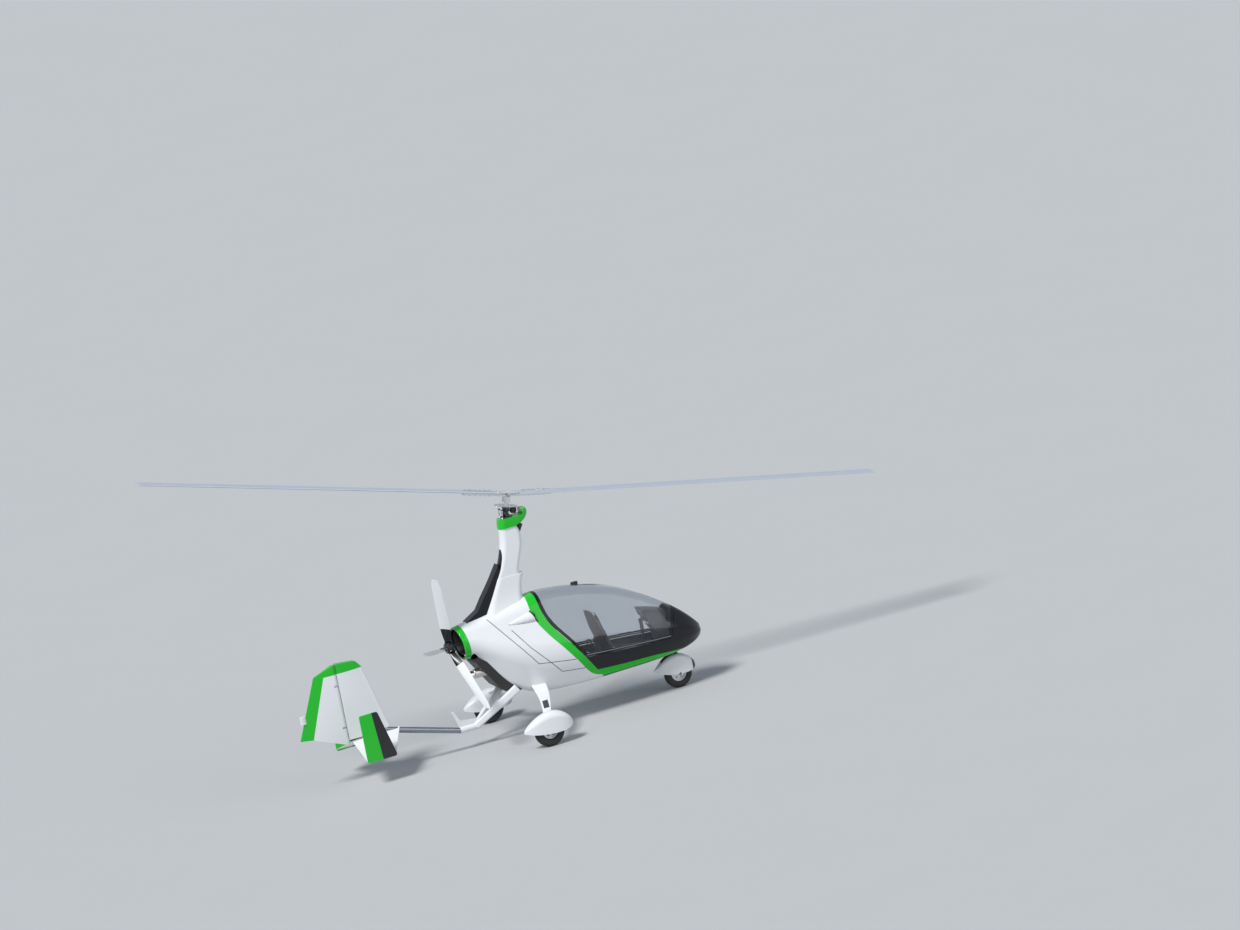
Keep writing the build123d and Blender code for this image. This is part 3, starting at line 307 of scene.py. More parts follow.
# %% [markdown]
# Three effects turn up again and again: weathering, which clouds a colour and its gloss and
# gathers grime low down; the faint orange peel of sprayed gelcoat; and a line drawn on the
# side of the machine. Each is built once as a node group and then placed with other values.

# %% Shared effects
point_input = ("Vector", "NodeSocketVector", None)
colour_output = ("Colour", "NodeSocketColor")
roughness_output = ("Roughness", "NodeSocketFloat")
height_output = ("Height", "NodeSocketFloat")


def new_group(name, inputs, outputs):
    """An empty node group with named sockets, and the nodes at its two ends."""
    tree = bpy.data.node_groups.new(name, "ShaderNodeTree")
    for label, kind, value in (point_input, *inputs):
        socket = tree.interface.new_socket(label, in_out="INPUT", socket_type=kind)
        if value is not None:
            socket.default_value = value
    for label, kind in outputs:
        tree.interface.new_socket(label, in_out="OUTPUT", socket_type=kind)
    start = tree.nodes.new("NodeGroupInput")
    end = tree.nodes.new("NodeGroupOutput")
    return tree, start.outputs, end.inputs


weathering, given, result = new_group(
    "weathering",
    (
        ("Colour", "NodeSocketColor", (0.8, 0.8, 0.8, 1)),
        ("Gloss", "NodeSocketFloat", 0.2),
        ("Amount", "NodeSocketFloat", 0.1),
    ),
    (colour_output, roughness_output, ("Grime", "NodeSocketFloat")),
)
grime_top = 0.95
grime_tone = (0.24, 0.22, 0.19)
broad = add_noise(weathering, given["Vector"], 2.2, 4)
fine = add_noise(weathering, given["Vector"], 60, 3)
streaks = add_noise(weathering, given["Vector"], 5, 4, (0.35, 3.0, 1.6))
split = weathering.nodes.new("ShaderNodeSeparateXYZ")
weathering.links.new(given["Vector"], split.inputs[0])
low = add_math(weathering, "SUBTRACT", grime_top, split.outputs["Z"], clamp=True)
grime = add_math(weathering, "MULTIPLY", low, streaks)
patches = add_math(weathering, "MULTIPLY", broad, fine)
both = add_math(weathering, "ADD", grime, patches, clamp=True)
amount = add_math(weathering, "MULTIPLY", both, given["Amount"], clamp=True)
dulled = add_math(weathering, "ADD", given["Gloss"], add_math(weathering, "MULTIPLY", both, 0.16))
weathering.links.new(add_mix(weathering, amount, given["Colour"], grime_tone), result["Colour"])
weathering.links.new(dulled, result["Roughness"])
weathering.links.new(amount, result["Grime"])

gelcoat_peel, given, result = new_group("gelcoat peel", (), (height_output,))
ripple = add_noise(gelcoat_peel, given["Vector"], 9, 2)
peel = add_noise(gelcoat_peel, given["Vector"], 240, 2)
total = add_math(gelcoat_peel, "ADD", ripple, add_math(gelcoat_peel, "MULTIPLY", peel, 0.12))
gelcoat_peel.links.new(total, result["Height"])

side_line, given, result = new_group(
    "side line",
    (
        ("From", "NodeSocketVector", (0, 0, 0)),
        ("To", "NodeSocketVector", (1, 0, 0)),
        ("Width", "NodeSocketFloat", 0.01),
        ("Soft", "NodeSocketFloat", 0.001),
    ),
    (("Mask", "NodeSocketFloat"),),
)
flat = add_vector(side_line, "MULTIPLY", given["Vector"], (1, 0, 1))
offset = add_vector(side_line, "SUBTRACT", flat, given["From"])
run = add_vector(side_line, "SUBTRACT", given["To"], given["From"])
along_run = add_vector(side_line, "DOT_PRODUCT", offset, run)
share = add_math(side_line, "DIVIDE", along_run, add_vector(side_line, "DOT_PRODUCT", run, run), clamp=True)
nearest = add_vector(side_line, "SCALE", run, scale=share)
distance = add_vector(side_line, "LENGTH", add_vector(side_line, "SUBTRACT", offset, nearest))
inside = add_math(side_line, "SUBTRACT", add_math(side_line, "MULTIPLY", given["Width"], 0.5), distance)
softened = add_math(side_line, "DIVIDE", inside, given["Soft"])
side_line.links.new(add_math(side_line, "ADD", softened, 0.5, clamp=True), result["Mask"])
print("groups", [group.name for group in bpy.data.node_groups])

# %% [markdown]
# The body, mast and tail are moulded composite with a white, black or green gelcoat.
# Gelcoat is a smooth, slightly wavy plastic under a clear gloss, so a clear coat over a
# faint ripple reads better than a plain shiny colour.

# %% Gelcoat finishes
white = (0.84, 0.85, 0.87)
green = (0.0, 0.52, 0.012)
black = (0.004, 0.005, 0.009)
edge_soft = 0.003


def gelcoat(name, colour, amount=0.10, gloss=0.16, coat=0.35):
    """Sprayed gelcoat in one colour, which a later step may split."""
    made = Finish(name, colour, gloss, coat=coat)
    made.shader.inputs["Specular IOR Level"].default_value = 0.35
    made.worn = made.take(made.group(weathering, colour=(*colour, 1), gloss=gloss, amount=amount))
    made.bump(made.group(gelcoat_peel).outputs["Height"], 0.0012, 0.25)
    return made


def split_colour(made, mask, other):
    """Gives the area under a mask another gelcoat colour."""
    base = made.worn.inputs["Colour"]
    before = base.links[0].from_socket if base.links else tuple(base.default_value)[:3]
    made.link(made.mix(mask, before, other), base)


def past(made, value, edge):
    """Mask of the points whose value is past an edge, with the edge a little soft."""
    gap = made.math("SUBTRACT", value, edge)
    return made.math("ADD", made.math("DIVIDE", gap, edge_soft), 0.5, clamp=True)


def within(made, value, limit, soft=0.002):
    """Mask of the points whose value is less than a limit."""
    return made.math("DIVIDE", made.math("SUBTRACT", limit, value), soft, clamp=True)


def all_of(made, *masks):
    """Mask of the points under every one of some masks."""
    found = masks[0]
    for mask in masks[1:]:
        found = made.math("MULTIPLY", found, mask)
    return found


def not_in(made, mask):
    """The points that a mask leaves out."""
    return made.math("SUBTRACT", 1.0, mask)


def band(made, letter, edge, above=True):
    """Mask of the side of a plane across one axis."""
    return past(made, made.axis(letter), edge) if above else past(made, edge, made.axis(letter))


def curve_mask(made, points, letter="Z", other="X"):
    """Mask past a smooth line in the side view, drawn over one axis through (station, height)."""
    places = [(main_axle.x + station, height) for station, height in points]
    keys = [spot[0] if letter == "X" else spot[1] for spot in places]
    values = [spot[1] if letter == "X" else spot[0] for spot in places]
    low_key, high_key = min(keys), max(keys)
    low_value, high_value = min(values), max(values)
    share = made.node("ShaderNodeMapRange")
    made.link(made.axis(letter), share.inputs["Value"])
    share.inputs["From Min"].default_value = low_key
    share.inputs["From Max"].default_value = high_key
    line = made.node("ShaderNodeFloatCurve")
    made.link(share.outputs["Result"], line.inputs["Value"])
    drawn = line.mapping.curves[0]
    spots = sorted(
        ((key - low_key) / (high_key - low_key), (value - low_value) / (high_value - low_value))
        for key, value in zip(keys, values)
    )
    drawn.points[0].location = spots[0]
    drawn.points[1].location = spots[-1]
    for spot in spots[1:-1]:
        drawn.points.new(*spot)
    line.mapping.update()
    edge = made.math("ADD", made.math("MULTIPLY", line.outputs["Value"], high_value - low_value), low_value)
    return past(made, made.axis(other), edge)


def side_stroke(made, first, last, width):
    """Mask of a straight line in the side view, between two (station, height) points."""
    line = made.group(side_line, width=width, soft=edge_soft)
    line.inputs["From"].default_value = place(first[0], 0, first[1])
    line.inputs["To"].default_value = place(last[0], 0, last[1])
    return line.outputs["Mask"]


white_gelcoat = gelcoat("white_gelcoat", white)
green_gelcoat = gelcoat("green_gelcoat", green)
black_gelcoat = gelcoat("black_gelcoat", black, 0.010, 0.12, 0.12)

# rear edge of the green band that runs down behind the canopy, as (station, height)
band_rear = (
    (0.318, 1.50), (0.302, 1.388), (0.328, 1.248), (0.405, 1.095), (0.561, 0.874),
    (0.728, 0.645), (0.79, 0.560), (0.85, 0.495), (0.93, 0.455), (1.05, 0.430),
)
body_paint = gelcoat("body_paint", white)
behind = curve_mask(body_paint, band_rear)
split_colour(body_paint, behind, green)

# two thin lines on each white side, bending under the canopy
stripe_ways = (
    ((-0.18, 1.37), (-0.018, 1.137), (0.24, 0.781), (0.669, 0.715)),
    ((0.038, 1.206), (0.192, 0.971), (0.498, 0.619), (0.773, 0.583)),
)
stripe_width = 0.008
stripe_grey = (0.09, 0.09, 0.10)
for first, last in [pair for way in stripe_ways for pair in zip(way, way[1:])]:
    stripe = side_stroke(body_paint, first, last, stripe_width)
    split_colour(body_paint, body_paint.math("SUBTRACT", stripe, behind, clamp=True), stripe_grey)

# a dark slit behind the band on each shoulder, in front of the air scoop: black painted shade standing in
# for the scoop's open mouth
mouth_shade_top, mouth_shade_foot, mouth_shade_width = (0.297, 1.345), (0.352, 1.222), 0.017
split_colour(body_paint, side_stroke(body_paint, mouth_shade_top, mouth_shade_foot, mouth_shade_width), black)

# the mast is white with a thin black edge behind, where the air duct runs up into it
mast_paint = gelcoat("mast_paint", white)
duct_edge = ((0.060, 1.75), (0.118, 1.85), (0.140, 1.903), (0.168, 1.99), (0.176, 2.06))
edge_low, edge_high = 1.76, 2.055
behind_edge = not_in(mast_paint, curve_mask(mast_paint, duct_edge))
in_reach = all_of(mast_paint, band(mast_paint, "Z", edge_low), band(mast_paint, "Z", edge_high, above=False))
split_colour(mast_paint, all_of(mast_paint, behind_edge, in_reach), black)

# the black tub has a green strip along its lower edge, which narrows towards the nose
tub_paint = gelcoat("tub_paint", black, 0.010, 0.10, 0.15)
strip_top = ((0.90, 0.520), (1.20, 0.500), (1.60, 0.482), (1.95, 0.452), (2.20, 0.440))
strip_low, strip_end = 0.425, 1.98
split_colour(tub_paint, all_of(
    tub_paint,
    not_in(tub_paint, curve_mask(tub_paint, strip_top, letter="X", other="Z")),
    band(tub_paint, "Z", strip_low),
    band(tub_paint, "X", main_axle.x + strip_end, above=False),
), green)
print("gelcoats made")

# %% [markdown]
# The fin and rudder are white with a green cap and a green rear edge that follows the
# slant of the rudder. The end plates are green behind and black in front. Each split is a
# mask drawn in the side view, so it runs on unbroken where the fin meets the rudder.

# %% Tail, pants and legs
tail_paint = gelcoat("tail_paint", white)
rear_edge = ((-2.372, 0.60), (-2.125, 1.235))
cap_height = 1.238
split_colour(tail_paint, not_in(tail_paint, curve_mask(tail_paint, rear_edge)), green)
split_colour(tail_paint, band(tail_paint, "Z", cap_height), green)

plate_paint = gelcoat("plate_paint", green)
plate_split = ((-1.79, 0.29), (-1.827, 0.822))
split_colour(plate_paint, curve_mask(plate_paint, plate_split), black)

pant_paint = gelcoat("pant_paint", white)

# the nose pant has a black strip over its top and a black lip in front
nose_pant_paint = gelcoat("nose_pant_paint", white)
strip_half, strip_start, strip_floor, lip_start = 0.038, 1.74, 0.20, 2.085
middle = nose_pant_paint.math("ABSOLUTE", nose_pant_paint.axis("Y"))
strip = all_of(
    nose_pant_paint,
    within(nose_pant_paint, middle, strip_half, edge_soft),
    band(nose_pant_paint, "X", main_axle.x + strip_start),
    band(nose_pant_paint, "Z", strip_floor),
)
lip = band(nose_pant_paint, "X", main_axle.x + lip_start)
split_colour(nose_pant_paint, nose_pant_paint.math("MAXIMUM", strip, lip), black)

# a dark patch lies across each main leg and leans with the leg's sweep
leg_paint = gelcoat("leg_paint", white)
patch_inner, patch_outer, patch_half = 0.572, 0.722, 0.034
patch_station, swept_from, sweep = 0.108, 0.62, 0.33
patch_grey = (0.02, 0.02, 0.022)
out = leg_paint.math("ABSOLUTE", leg_paint.axis("Y"))
lean = leg_paint.math("MULTIPLY", leg_paint.math("SUBTRACT", out, swept_from), sweep)
ahead = leg_paint.math("SUBTRACT", leg_paint.axis("X"), main_axle.x + patch_station)
across = leg_paint.math("ABSOLUTE", leg_paint.math("ADD", ahead, lean))
split_colour(leg_paint, all_of(
    leg_paint,
    within(leg_paint, patch_inner, out),
    within(leg_paint, out, patch_outer),
    within(leg_paint, across, patch_half),
), patch_grey)
print("split gelcoats made")

# %% [markdown]
# Metal parts differ in how they were finished. Machined and drawn parts carry fine lines
# along the tool's path, castings are grained, and steel near heat goes straw and blue. One
# group stretches a noise into lines, and each metal turns it its own way.

# %% Metals
tool_lines, given, result = new_group(
    "tool lines",
    (
        ("Stretch", "NodeSocketVector", (1, 30, 30)),
        ("Colour", "NodeSocketColor", (0.7, 0.7, 0.7, 1)),
        ("Gloss", "NodeSocketFloat", 0.3),
        ("Contrast", "NodeSocketFloat", 0.2),
    ),
    (colour_output, roughness_output, height_output),
)
stretched = add_vector(tool_lines, "MULTIPLY", given["Vector"], given["Stretch"])
lines = add_noise(tool_lines, stretched, 12, 4)
cloud = add_math(tool_lines, "MULTIPLY", add_noise(tool_lines, given["Vector"], 7, 3), 0.12)
centred = add_math(tool_lines, "SUBTRACT", lines, 0.5)
shift = add_math(tool_lines, "MULTIPLY", centred, given["Contrast"])
value = add_math(tool_lines, "ADD", add_math(tool_lines, "ADD", shift, 0.92), cloud)
uneven = add_math(tool_lines, "MULTIPLY", shift, 0.8)
rough = add_math(tool_lines, "ADD", given["Gloss"], uneven, clamp=True)
tool_lines.links.new(add_vector(tool_lines, "SCALE", given["Colour"], scale=value), result["Colour"])
tool_lines.links.new(rough, result["Roughness"])
tool_lines.links.new(lines, result["Height"])


def metal(name, colour, gloss, stretch, contrast=0.25, metallic=1.0):
    """Metal with tool lines run along one way."""
    made = Finish(name, colour, gloss, metallic=metallic)
    lined = made.group(tool_lines, stretch=stretch, colour=(*colour, 1), gloss=gloss, contrast=contrast)
    made.lined = made.take(lined)
    made.bump(lined.outputs["Height"], 0.0002, 0.3)
    return made


machined_alloy = metal("machined_alloy", (0.78, 0.79, 0.81), 0.26, (1, 26, 26))
boom_alloy = metal("boom_alloy", (0.30, 0.33, 0.38), 0.30, (1, 22, 22))
rim_alloy = metal("rim_alloy", (0.66, 0.67, 0.69), 0.34, (6, 6, 6), 0.2)
bright_alloy = metal("bright_alloy", (0.86, 0.87, 0.88), 0.22, (2, 30, 30), 0.2)
dark_steel = metal("dark_steel", (0.09, 0.09, 0.10), 0.38, (8, 8, 8), 0.5)
bolt_steel = metal("bolt_steel", (0.50, 0.50, 0.52), 0.30, (14, 14, 3), 0.3)
blade_skin = metal("blade_skin", (0.58, 0.63, 0.72), 0.30, (0.35, 30, 30), 0.22, metallic=0.35)
engine_cover = metal("engine_cover", (0.06, 0.06, 0.065), 0.5, (9, 9, 9), 0.6, metallic=0.4)

# the silencer's steel is clouded with the straw colour of heat
exhaust_steel = metal("exhaust_steel", (0.80, 0.79, 0.77), 0.30, (4, 20, 20), 0.3)
straw = (0.42, 0.27, 0.13)
heat = exhaust_steel.math("MULTIPLY", exhaust_steel.noise(6, 3), 0.30)
exhaust_steel.colour(exhaust_steel.mix(heat, exhaust_steel.lined.outputs["Colour"], straw))
print("metals made")

# %% [markdown]
# Blades of the propeller are black in front, towards the engine, and white behind. The
# face is told by its own normal against the shaft's direction, which holds at any turn of
# the propeller, and the roots stay black all round.

# %% Propeller paint
prop_lean = math.radians(6.5)
hub_low, hub_high = [Vector(corner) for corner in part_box("prop_hub")]
prop_centre = (hub_low + hub_high) / 2
prop_axis = Vector((-math.cos(prop_lean), 0, -math.sin(prop_lean)))
root_reach = 0.24
blade_white = (0.78, 0.79, 0.80)

prop_paint = gelcoat("prop_paint", black, 0.010, 0.2, 0.1)
facing = prop_paint.vector("DOT_PRODUCT", prop_paint.normal, prop_axis)
reach = prop_paint.vector("DISTANCE", prop_paint.coordinates, prop_centre)
rear_face = prop_paint.math("GREATER_THAN", facing, 0.02)
past_root = prop_paint.math("GREATER_THAN", reach, root_reach)
split_colour(prop_paint, all_of(prop_paint, rear_face, past_root), blade_white)

# %% [markdown]
# The cowl ring is green on its outer skin and black inside, told by the distance from the
# shaft's line, and the hull's rear end takes the same green rim. Both hulls are black
# inside, where their faces look back at their own middle line.

# %% Cowl and hull mouths
mouth_radius = 0.181
rim_start = -0.172
body_middle = 0.98
tub_middle = 0.80


def from_hub(made):
    """The way from the propeller's hub to a point."""
    return made.vector("SUBTRACT", made.coordinates, prop_centre)


def inner_face(made, middle_height):
    """1 where a hull face looks back at the hull's middle line."""
    out = made.vector("SUBTRACT", made.coordinates, (0, 0, middle_height))
    flat = made.vector("MULTIPLY", out, (0, 1, 1))
    facing = made.vector("DOT_PRODUCT", made.vector("NORMALIZE", flat), made.normal)
    return made.math("LESS_THAN", facing, -0.25)


cowl_paint = gelcoat("cowl_paint", green)
off_shaft = cowl_paint.vector("LENGTH", cowl_paint.vector("CROSS_PRODUCT", from_hub(cowl_paint), prop_axis))
split_colour(cowl_paint, cowl_paint.math("LESS_THAN", off_shaft, mouth_radius), black)
along_shaft = body_paint.vector("DOT_PRODUCT", from_hub(body_paint), prop_axis)
split_colour(body_paint, body_paint.math("GREATER_THAN", along_shaft, rim_start), green)
split_colour(body_paint, inner_face(body_paint, body_middle), black)
split_colour(tub_paint, inner_face(tub_paint, tub_middle), black)
print("propeller and cowl painted")

# %% [markdown]
# Plastics, rubber, cloth and carbon complete the set. Carbon and cloth are woven, so a
# shared group crosses two sets of waves for the threads, fine enough to be seen only up
# close.

# %% Plastics, rubber, carbon and cloth
weave, given, result = new_group(
    "weave",
    (("Threads", "NodeSocketFloat", 400.0),),
    (("Over", "NodeSocketFloat"), height_output),
)
parts = weave.nodes.new("ShaderNodeSeparateXYZ")
weave.links.new(add_vector(weave, "SCALE", given["Vector"], scale=given["Threads"]), parts.inputs[0])
slant = add_math(weave, "MULTIPLY", parts.outputs["Z"], 0.5)
warp = add_math(weave, "SINE", add_math(weave, "ADD", parts.outputs["X"], parts.outputs["Z"]))
weft = add_math(weave, "SINE", add_math(weave, "ADD", parts.outputs["Y"], slant))
crossed = add_math(weave, "MULTIPLY", warp, weft)
weave.links.new(add_math(weave, "GREATER_THAN", crossed, 0.0), result["Over"])
weave.links.new(add_math(weave, "ABSOLUTE", crossed), result["Height"])


def plastic(name, colour, gloss, grain=260, depth=0.0004):
    """Moulded plastic with a fine grain and worn gloss."""
    made = Finish(name, colour, gloss)
    made.take(made.group(weathering, colour=(*colour, 1), gloss=gloss, amount=0.05))
    made.bump(made.noise(grain, 2), depth, 0.5)
    return made


def woven(name, colour, other, gloss, threads, depth, coat=0.0, sheen=0.0):
    """Cloth or carbon with its threads crossing."""
    made = Finish(name, colour, gloss, coat=coat)
    crossing = made.group(weave, threads=float(threads))
    tone = made.mix(crossing.outputs["Over"], colour, other)
    made.take(made.group(weathering, colour=tone, gloss=gloss, amount=0.08))
    made.bump(crossing.outputs["Height"], depth, 0.6)
    made.shader.inputs["Sheen Weight"].default_value = sheen
    return made


black_trim = plastic("black_trim", (0.018, 0.018, 0.020), 0.42)
seat_shell = plastic("seat_shell", (0.035, 0.035, 0.040), 0.45)
dial_black = plastic("dial_black", (0.012, 0.012, 0.014), 0.35)
heat_shield = plastic("heat_shield", (0.008, 0.008, 0.009), 0.6)
cabin_felt = plastic("cabin_felt", (0.022, 0.022, 0.025), 0.9, 900, 0.0012)
grip_rubber = plastic("grip_rubber", (0.016, 0.016, 0.017), 0.65, 500, 0.0003)
dial_face = plastic("dial_face", (0.006, 0.006, 0.008), 0.12, 60, 0.0001)
screen_glass = plastic("screen_glass", (0.010, 0.016, 0.026), 0.06, 40, 0.00005)
pale_plastic = plastic("pale_plastic", (0.78, 0.78, 0.76), 0.3)
red_plastic = plastic("red_plastic", (0.45, 0.02, 0.015), 0.3)

# the canopy's black frame has a pale line along its sill: a pale seal whose grey is also a painted highlight
# of the glass edge
canopy_rail = gelcoat("canopy_rail", black, 0.010, 0.12, 0.12)
sill_rear, sill_front, sill_width = (0.80, 0.726), (1.86, 0.643), 0.007
seal_and_highlight_grey = (0.30, 0.33, 0.36)
split_colour(canopy_rail, side_stroke(canopy_rail, sill_rear, sill_front, sill_width), seal_and_highlight_grey)


def tread(name, middle):
    """Tyre rubber with four grooves round it, in pairs off the wheel's middle plane."""
    made = plastic(name, (0.022, 0.022, 0.023), 0.72, 120, 0.0008)
    off = made.math("ABSOLUTE", made.math("SUBTRACT", made.math("ABSOLUTE", made.axis("Y")), middle))
    outer = made.math("ABSOLUTE", made.math("SUBTRACT", off, 0.018))
    inner = made.math("ABSOLUTE", made.math("SUBTRACT", off, 0.005))
    groove = made.math("DIVIDE", made.math("MINIMUM", outer, inner), 0.0022, clamp=True)
    made.bump(made.math("ADD", groove, made.math("MULTIPLY", made.noise(120, 2), 0.12)), 0.004, 0.9)
    return made


wheel_middle = 0.855
main_rubber = tread("main_rubber", wheel_middle)
nose_rubber = tread("nose_rubber", 0.0)
carbon_panel = woven(
    "carbon_panel", (0.016, 0.016, 0.018), (0.045, 0.045, 0.050), 0.30, 1500, 0.0001, coat=0.6)
seat_fabric = woven(
    "seat_fabric", (0.045, 0.047, 0.056), (0.075, 0.078, 0.090), 0.85, 2400, 0.0004, sheen=0.3)
harness_webbing = woven(
    "harness_webbing", (0.10, 0.11, 0.13), (0.16, 0.17, 0.19), 0.75, 2600, 0.0003)
print("plastics, rubber and cloth made")

# %% [markdown]
# The canopy is smoked acrylic. Light that casts shadows passes straight through it, because
# a renderer without caustics would leave the cabin black, and a real tinted canopy only
# dims it.

# %% Clear plastic
def clear(name, tint, gloss, shadow):
    """Transparent plastic that lets shadow rays through, dimmed."""
    made = Finish(name, tint, gloss)
    made.shader.inputs["Transmission Weight"].default_value = 1.0
    made.shader.inputs["IOR"].default_value = 1.42
    made.roughness(made.math("ADD", made.math("MULTIPLY", made.noise(3, 3), 0.03), gloss))
    clouded = made.math("MULTIPLY", made.noise(1.2, 2), 0.25)
    made.colour(made.mix(clouded, tint, tuple(part * 0.8 for part in tint)))
    passing = made.node("ShaderNodeBsdfTransparent")
    passing.inputs["Color"].default_value = (*shadow, 1)
    blend = made.node("ShaderNodeMixShader")
    made.link(made.node("ShaderNodeLightPath").outputs["Is Shadow Ray"], blend.inputs[0])
    made.link(made.shader.outputs[0], blend.inputs[1])
    made.link(passing.outputs[0], blend.inputs[2])
    made.link(blend.outputs[0], made.tree.nodes["Material Output"].inputs["Surface"])
    return made


smoked_canopy = clear("smoked_canopy", (0.76, 0.79, 0.83), 0.004, (0.74, 0.77, 0.81))

# %% [markdown]
# The floor is a pale painted surface. A broad noise keeps it from looking like paper, and
# it is weak enough to leave the shadows plain.

# %% Floor finish
floor_paint = Finish("floor_paint", (0.50, 0.505, 0.51), 0.85)
floor_cloud = floor_paint.math("MULTIPLY", floor_paint.noise(0.8, 4), 0.3)
floor_paint.colour(floor_paint.mix(floor_cloud, (0.51, 0.515, 0.52), (0.48, 0.485, 0.49)))
floor.data.materials.append(floor_paint.material)

# %% [markdown]
# Each CAD node gets one finish. The table is read by finish, and the print shows whether
# any node was forgotten.

# %% Finish of each node
finish_rows = (
    (tub_paint, ("nose_tub",)),
    (body_paint, ("rear_body",)),
    (cowl_paint, ("cowl_ring",)),
    (mast_paint, ("mast_fairing",)),
    (green_gelcoat, ("mast_cap",)),
    (black_gelcoat, ("mast_duct",)),
    (white_gelcoat, ("tail_fork", "stabiliser")),
    (tail_paint, ("fin", "rudder")),
    (plate_paint, ("end_plates",)),
    (leg_paint, ("main_legs",)),
    (pant_paint, ("main_pants",)),
    (nose_pant_paint, ("nose_pant",)),
    (canopy_rail, ("canopy_frame",)),
    (smoked_canopy, ("canopy_glass",)),
    (prop_paint, ("prop_blades",)),
    (blade_skin, ("rotor_blades",)),
    (machined_alloy, ("rotor_shaft", "gear_disc", "hub_bar")),
    (boom_alloy, ("tail_boom",)),
    (rim_alloy, ("left_rim", "right_rim", "nose_rim")),
    (dark_steel, ("head_base", "head_cross", "head_block", "main_axles", "nose_fork")),
    (exhaust_steel, ("exhaust",)),
    (engine_cover, ("engine_block",)),
    (black_trim, ("cabin_controls", "prop_hub", "radiator_duct", "canopy_vent")),
    (carbon_panel, ("cabin_floor", "instrument_panel")),
    (seat_shell, ("front_seat", "rear_seat")),
    (seat_fabric, ("front_cushions", "rear_cushions")),
    (pale_plastic, ("tail_light",)),
    (main_rubber, ("left_tyre", "right_tyre")),
    (nose_rubber, ("nose_tyre",)),
)
finished = set()
for finish, names in finish_rows:
    for name in names:
        for slot in nodes[name].material_slots:
            slot.material = finish.material
        finished.add(name)
print("finished", len(finished), "nodes, missing", set(nodes) - finished)

# %% [markdown]
# Every new piece starts as a primitive, is shaped in edit mode and ends the same way: its
# modifiers are applied, its place goes into its mesh, and it is hung on the body that
# carries it. Faces are picked by where their middle lies, so a step stays readable.

# %% Modelling helpers
def active(piece):
    """Makes one object the only selected and active one."""
    bpy.ops.object.select_all(action="DESELECT")
    piece.select_set(True)
    bpy.context.view_layer.objects.active = piece
    return piece


def pick(piece, kind, test):
    """Selects the vertices, edges or faces whose middle passes a test."""
    bpy.ops.mesh.select_mode(type=kind)
    bpy.ops.mesh.select_all(action="DESELECT")
    shape = bmesh.from_edit_mesh(piece.data)
    parts = {"VERT": shape.verts, "EDGE": shape.edges, "FACE": shape.faces}[kind]
    for part in parts:
        corners = [part] if kind == "VERT" else part.verts
        middle = sum((corner.co for corner in corners), Vector()) / len(corners)
        if test(middle):
            part.select_set(True)
    bmesh.update_edit_mesh(piece.data)


def settle(piece):
    """Applies a piece's modifiers and puts its place, turn and size into its mesh."""
    active(piece)
    for modifier in piece.modifiers[:]:
        bpy.ops.object.modifier_apply(modifier=modifier.name)
    bpy.ops.object.transform_apply(location=True, rotation=True, scale=True)
    return piece


def keep(piece, name, finish, body, angle=35):
    """Finishes a piece: settled, smoothed, painted, and hung on the body that carries it."""
    settle(piece)
    if not piece.data.polygons:
        raise ValueError(f"{name} has no faces")
    piece.name = name
    bpy.ops.object.shade_smooth_by_angle(angle=math.radians(angle))
    piece.data.materials.clear()
    piece.data.materials.append(finish.material)
    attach(piece, body)
    return piece


def pointing(origin, along, forward=None):
    """Matrix whose z points along a direction, with its x as near forward as it can be."""
    z = Vector(along).normalized()
    if forward is None:
        turned = z.to_track_quat("Z", "Y").to_matrix().to_4x4()
    else:
        y = z.cross(Vector(forward)).normalized()
        turned = Matrix((y.cross(z), y, z)).transposed().to_4x4()
    return Matrix.Translation(origin) @ turned


def one_point(spot):
    """A new piece of a single vertex, left in edit mode and ready to be extruded."""
    bpy.ops.mesh.primitive_plane_add(size=0.01, location=(0, 0, 0))
    piece = bpy.context.object
    bpy.ops.object.mode_set(mode="EDIT")
    bpy.ops.mesh.select_mode(type="VERT")
    bpy.ops.mesh.select_all(action="SELECT")
    bpy.ops.mesh.merge(type="CENTER")
    bpy.ops.transform.translate(value=spot)
    return piece


def lathe(profile, steps=32):
    """Turns a profile of (radius, height) pairs round the z axis."""
    piece = one_point((profile[0][0], 0, profile[0][1]))
    for (r0, z0), (r1, z1) in zip(profile, profile[1:]):
        bpy.ops.mesh.extrude_region_move(TRANSFORM_OT_translate={"value": (r1 - r0, 0, z1 - z0)})
    bpy.ops.mesh.select_all(action="SELECT")
    bpy.ops.mesh.spin(steps=steps, angle=math.tau, center=(0, 0, 0), axis=(0, 0, 1))
    bpy.ops.mesh.select_all(action="SELECT")
    bpy.ops.mesh.remove_doubles(threshold=0.00001)
    bpy.ops.mesh.normals_make_consistent(inside=False)
    bpy.ops.object.mode_set(mode="OBJECT")
    return piece


def block(size, bevel=0.003, segments=3):
    """A rounded block of a given size at the origin."""
    bpy.ops.mesh.primitive_cube_add(size=1, location=(0, 0, 0), scale=size)
    piece = bpy.context.object
    bpy.ops.object.transform_apply(location=True, rotation=True, scale=True)
    bpy.ops.object.mode_set(mode="EDIT")
    bpy.ops.mesh.select_all(action="SELECT")
    bpy.ops.mesh.bevel(offset=bevel, segments=segments, affect="EDGES")
    bpy.ops.object.mode_set(mode="OBJECT")
    return piece


